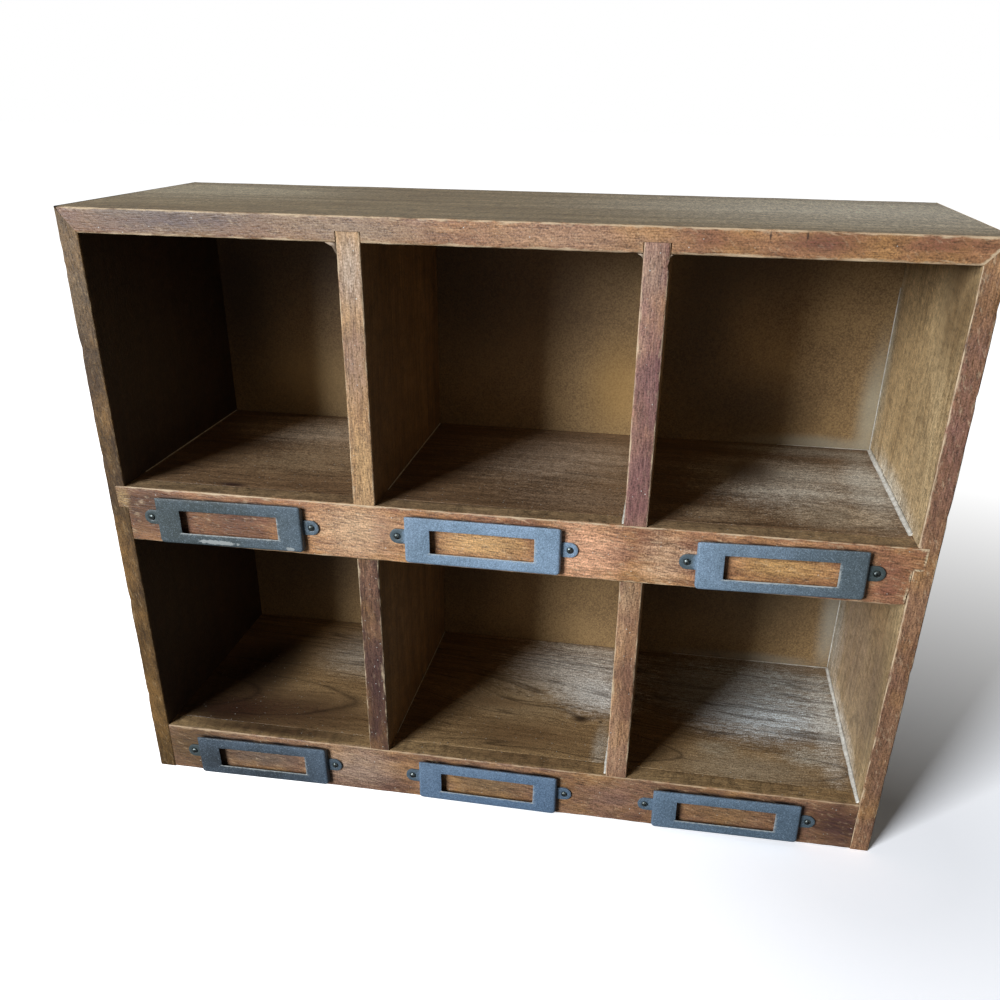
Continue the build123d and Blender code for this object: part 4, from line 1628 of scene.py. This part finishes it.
@dataclass
class Hardware:
    """The six label holders and every pin."""

    upper_z: float = 172.75
    lower_z: float = 15.75
    upper: tuple[tuple, ...] = (("left", -146.03, 0.7, (0.5, 0.15)), ("centre", -7.35, 0.0, (0.8, 0.1)),
                                ("right", 143.32, 1.2, (0.8, 0.85)))
    lower: tuple[tuple, ...] = (("left", -144.35, 1.0, (0.8, 0.4)), ("centre", -4.39, -0.4, (0.6, 0.3)),
                                ("right", 134.03, 0.6, (0.3, 0.5)))
    panel_back_y: float = 76.2
    columns: tuple[float, ...] = (-141.0, 0.0, 141.0)
    board_heights: tuple[float, ...] = (320.5, 182.5, 25.5)
    side_x: float = 208.0
    side_heights: tuple[float, ...] = (104.0, 253.25)

    def build(self) -> None:
        """Make the holders and the pins."""
        chips = tuple(Chip((x, -77, z), (reach_x, 3, reach_z), strength) for x, z, reach_x, reach_z, strength in (
            (-153, 161.5, 14, 1.6, 0.65), (-112, 161, 3, 1.6, 0.6), (16, 166, 3, 1.2, 0.9),
            (131, 165.3, 15, 0.8, 0.8), (158, 165.9, 14, 0.8, 0.8), (171.3, 171, 0.7, 6, 0.6),
        ))
        # Painted shade: the coat is darker and greyer on the holders towards both ends, most on the left, for the
        # light's falloff.
        painted_shade_blots = blots_on(
            1, -76, (-170, 172, (170, 20, 80), "#434b49", 1.0, 0.1), (-160, 10, (200, 20, 60), "#363d42", 1.0, 0.1),
            (10, 6, (150, 20, 60), "#5f7790", 1.0, 0.1), (160, 6, (150, 20, 60), "#546674", 1.0, 0.1),
            (195, 172, (120, 20, 70), "#545f62", 1.0, 0.1),
        )
        coat = SlatePowderCoat(painted_shade_blots=painted_shade_blots, chips=chips).material()
        heads: list[Vector] = []
        names: list[str] = []
        for row, z, places in (("upper", self.upper_z, self.upper), ("lower", self.lower_z, self.lower)):
            for column, x, tilt, ears in places:
                holder = LabelHolder(f"{row}_{column}_label_holder", x, z, tilt, ears)
                holder.build(coat)
                heads += holder.pin_places()
                names.append(f"{row}_{column}_holder_pins")
        dark = PinSteel("wire_steel_darkened_by_age", "#7b8381", "#2a302f", 0.38)
        PinRow("holder_pin_heads", names, "darkened_steel", heads, dark, PinHead.DOMED,
               head_r=1.75, shank_r=0.8, shank_l=9.0, inward=1.0).build()
        spots = [(x, z) for z in self.board_heights for x in self.columns]
        spots += [(side * self.side_x, z) for side in (-1, 1) for z in self.side_heights]
        seats = [Vector((x, self.panel_back_y + 0.3, z)) for x, z in spots]
        bright = PinSteel("wire_steel_drawn_bright", "#a6a39b", "#5d5348", 0.32)
        PinRow("back_panel_pin_heads", ["back_panel_pins"], "bright_steel", seats, bright, PinHead.FLAT,
               head_r=1.4, shank_r=0.6, shank_l=14.0, inward=-1.0).build()


@dataclass
class Studio:
    """The floor, the lamp, the world and the camera."""

    camera_place: Point = (80.839, -517.313, 378.990)
    camera_turn: Point = (62.58117, -0.65699, 9.82646)
    lens: float = 34.41809
    sensor: float = 36.0
    shift: tuple[float, float] = (-0.00866, 0.09181)
    key_place: Point = (-1565.0, -2167.0, 1125.0)
    key_size: tuple[float, float] = (1050.0, 1100.0)
    key_power: float = 106.0
    key_colour: str = "#f4f8ff"
    aim: Point = (10.0, 0.0, 150.0)
    fill: float = 0.012
    sheen: float = 0.35
    bounce: float = 0.22
    paper: float = 1.8
    # A camera-only glow on the floor paints the shadow's fade, from the corner out to its reach.
    shadow_fade_glow: tuple[float, float] = (0.04, 1.0)
    shadow_fade_corner: Point = (216.0, -73.0, 0.0)
    shadow_fade_reach: tuple[float, float] = (50.0, 650.0)

    def camera(self) -> None:
        """Set the camera at the photograph's place and angle."""
        data = bpy.data.cameras.new("camera")
        data.lens, data.sensor_width = self.lens, self.sensor
        data.shift_x, data.shift_y = self.shift
        data.clip_start, data.clip_end = 0.01, 50.0
        camera = bpy.data.objects.new("camera", data)
        camera.location = Vector(self.camera_place) * MM
        camera.rotation_euler = Euler([math.radians(a) for a in self.camera_turn], "XYZ")
        bpy.context.scene.collection.objects.link(camera)
        bpy.context.scene.camera = camera

    def lamp(self) -> None:
        """Stand one tall soft lamp in front, to the left and above, like a window."""
        data = bpy.data.lights.new("window", "AREA")
        data.shape = "RECTANGLE"
        data.size, data.size_y = (s * MM for s in self.key_size)
        data.energy, data.color = self.key_power, linear(self.key_colour)[:3]
        lamp = bpy.data.objects.new("window", data)
        place = Vector(self.key_place)
        lamp.location = place * MM
        lamp.rotation_euler = (Vector(self.aim) - place).to_track_quat("-Z", "Y").to_euler()
        bpy.context.scene.collection.objects.link(lamp)

    def world(self) -> None:
        """Make a surround that is white to the eye, and dim for the light that falls on things."""
        world = bpy.data.worlds.new("surround")
        world.use_nodes = True
        tree = world.node_tree
        tree.nodes.clear()
        seen = put(tree, "ShaderNodeLightPath")
        sheen = put(tree, "ShaderNodeMapRange", seen.node.outputs["Is Glossy Ray"], 0.0, 1.0, self.fill, self.sheen)
        strength = put(tree, "ShaderNodeMath", seen, sheen, operation="MAXIMUM")
        light = put(tree, "ShaderNodeBackground", (1.0, 1.0, 1.0, 1.0), strength)
        end = tree.nodes.new("ShaderNodeOutputWorld")
        tree.links.new(light, end.inputs["Surface"])
        bpy.context.scene.world = world

    def floor(self) -> None:
        """Lay a pale floor that is white to the eye and keeps the shadow, with a camera-only glow rising with distance
        from the front right corner that paints the shadow's fade.
        """
        mesh = bpy.data.meshes.new("floor")
        half = 12.0
        mesh.from_pydata([(-half, -half, 0), (half, -half, 0), (half, half, 0), (-half, half, 0)], [],
                         [(0, 1, 2, 3)])
        floor = in_scene("floor", mesh)
        material = bpy.data.materials.new("matt_white_paper_floor")
        material.use_nodes = True
        tree = material.node_tree
        tree.nodes.clear()
        seen = put(tree, "ShaderNodeLightPath")
        where = put(tree, "ShaderNodeTexCoord", out=3)
        # Painted light: a glow seen only by the camera, faint by the front right corner and full far off, lifts the
        # shadow so that it fades.
        away = put(tree, "ShaderNodeVectorMath", where, tuple(v * MM for v in self.shadow_fade_corner), operation="DISTANCE")
        painted_fade = put(tree, "ShaderNodeMapRange", away, *(d * MM for d in self.shadow_fade_reach), *self.shadow_fade_glow)
        painted_fade = put(tree, "ShaderNodeMath", painted_fade, seen, operation="MULTIPLY")
        tone = put(tree, "ShaderNodeMix", seen, self.bounce, self.paper)
        colour = put(tree, "ShaderNodeCombineColor", tone, tone, tone)
        paper = put(tree, "ShaderNodeBsdfDiffuse", colour)
        paper = put(tree, "ShaderNodeAddShader", paper, put(tree, "ShaderNodeEmission", None, painted_fade))
        end = tree.nodes.new("ShaderNodeOutputMaterial")
        tree.links.new(paper, end.inputs["Surface"])
        mesh.materials.append(material)

    def build(self) -> None:
        """Set up the whole studio."""
        self.camera()
        self.lamp()
        self.world()
        self.floor()
        bpy.context.scene.view_settings.view_transform = "Standard"


def main() -> None:
    """Build the organizer's pieces and the studio, and log their face counts."""
    logging.basicConfig(level=logging.INFO, format="%(name)s: %(message)s")
    Carcass().build()
    Hardware().build()
    Studio().build()


if __name__ == "__main__":
    main()
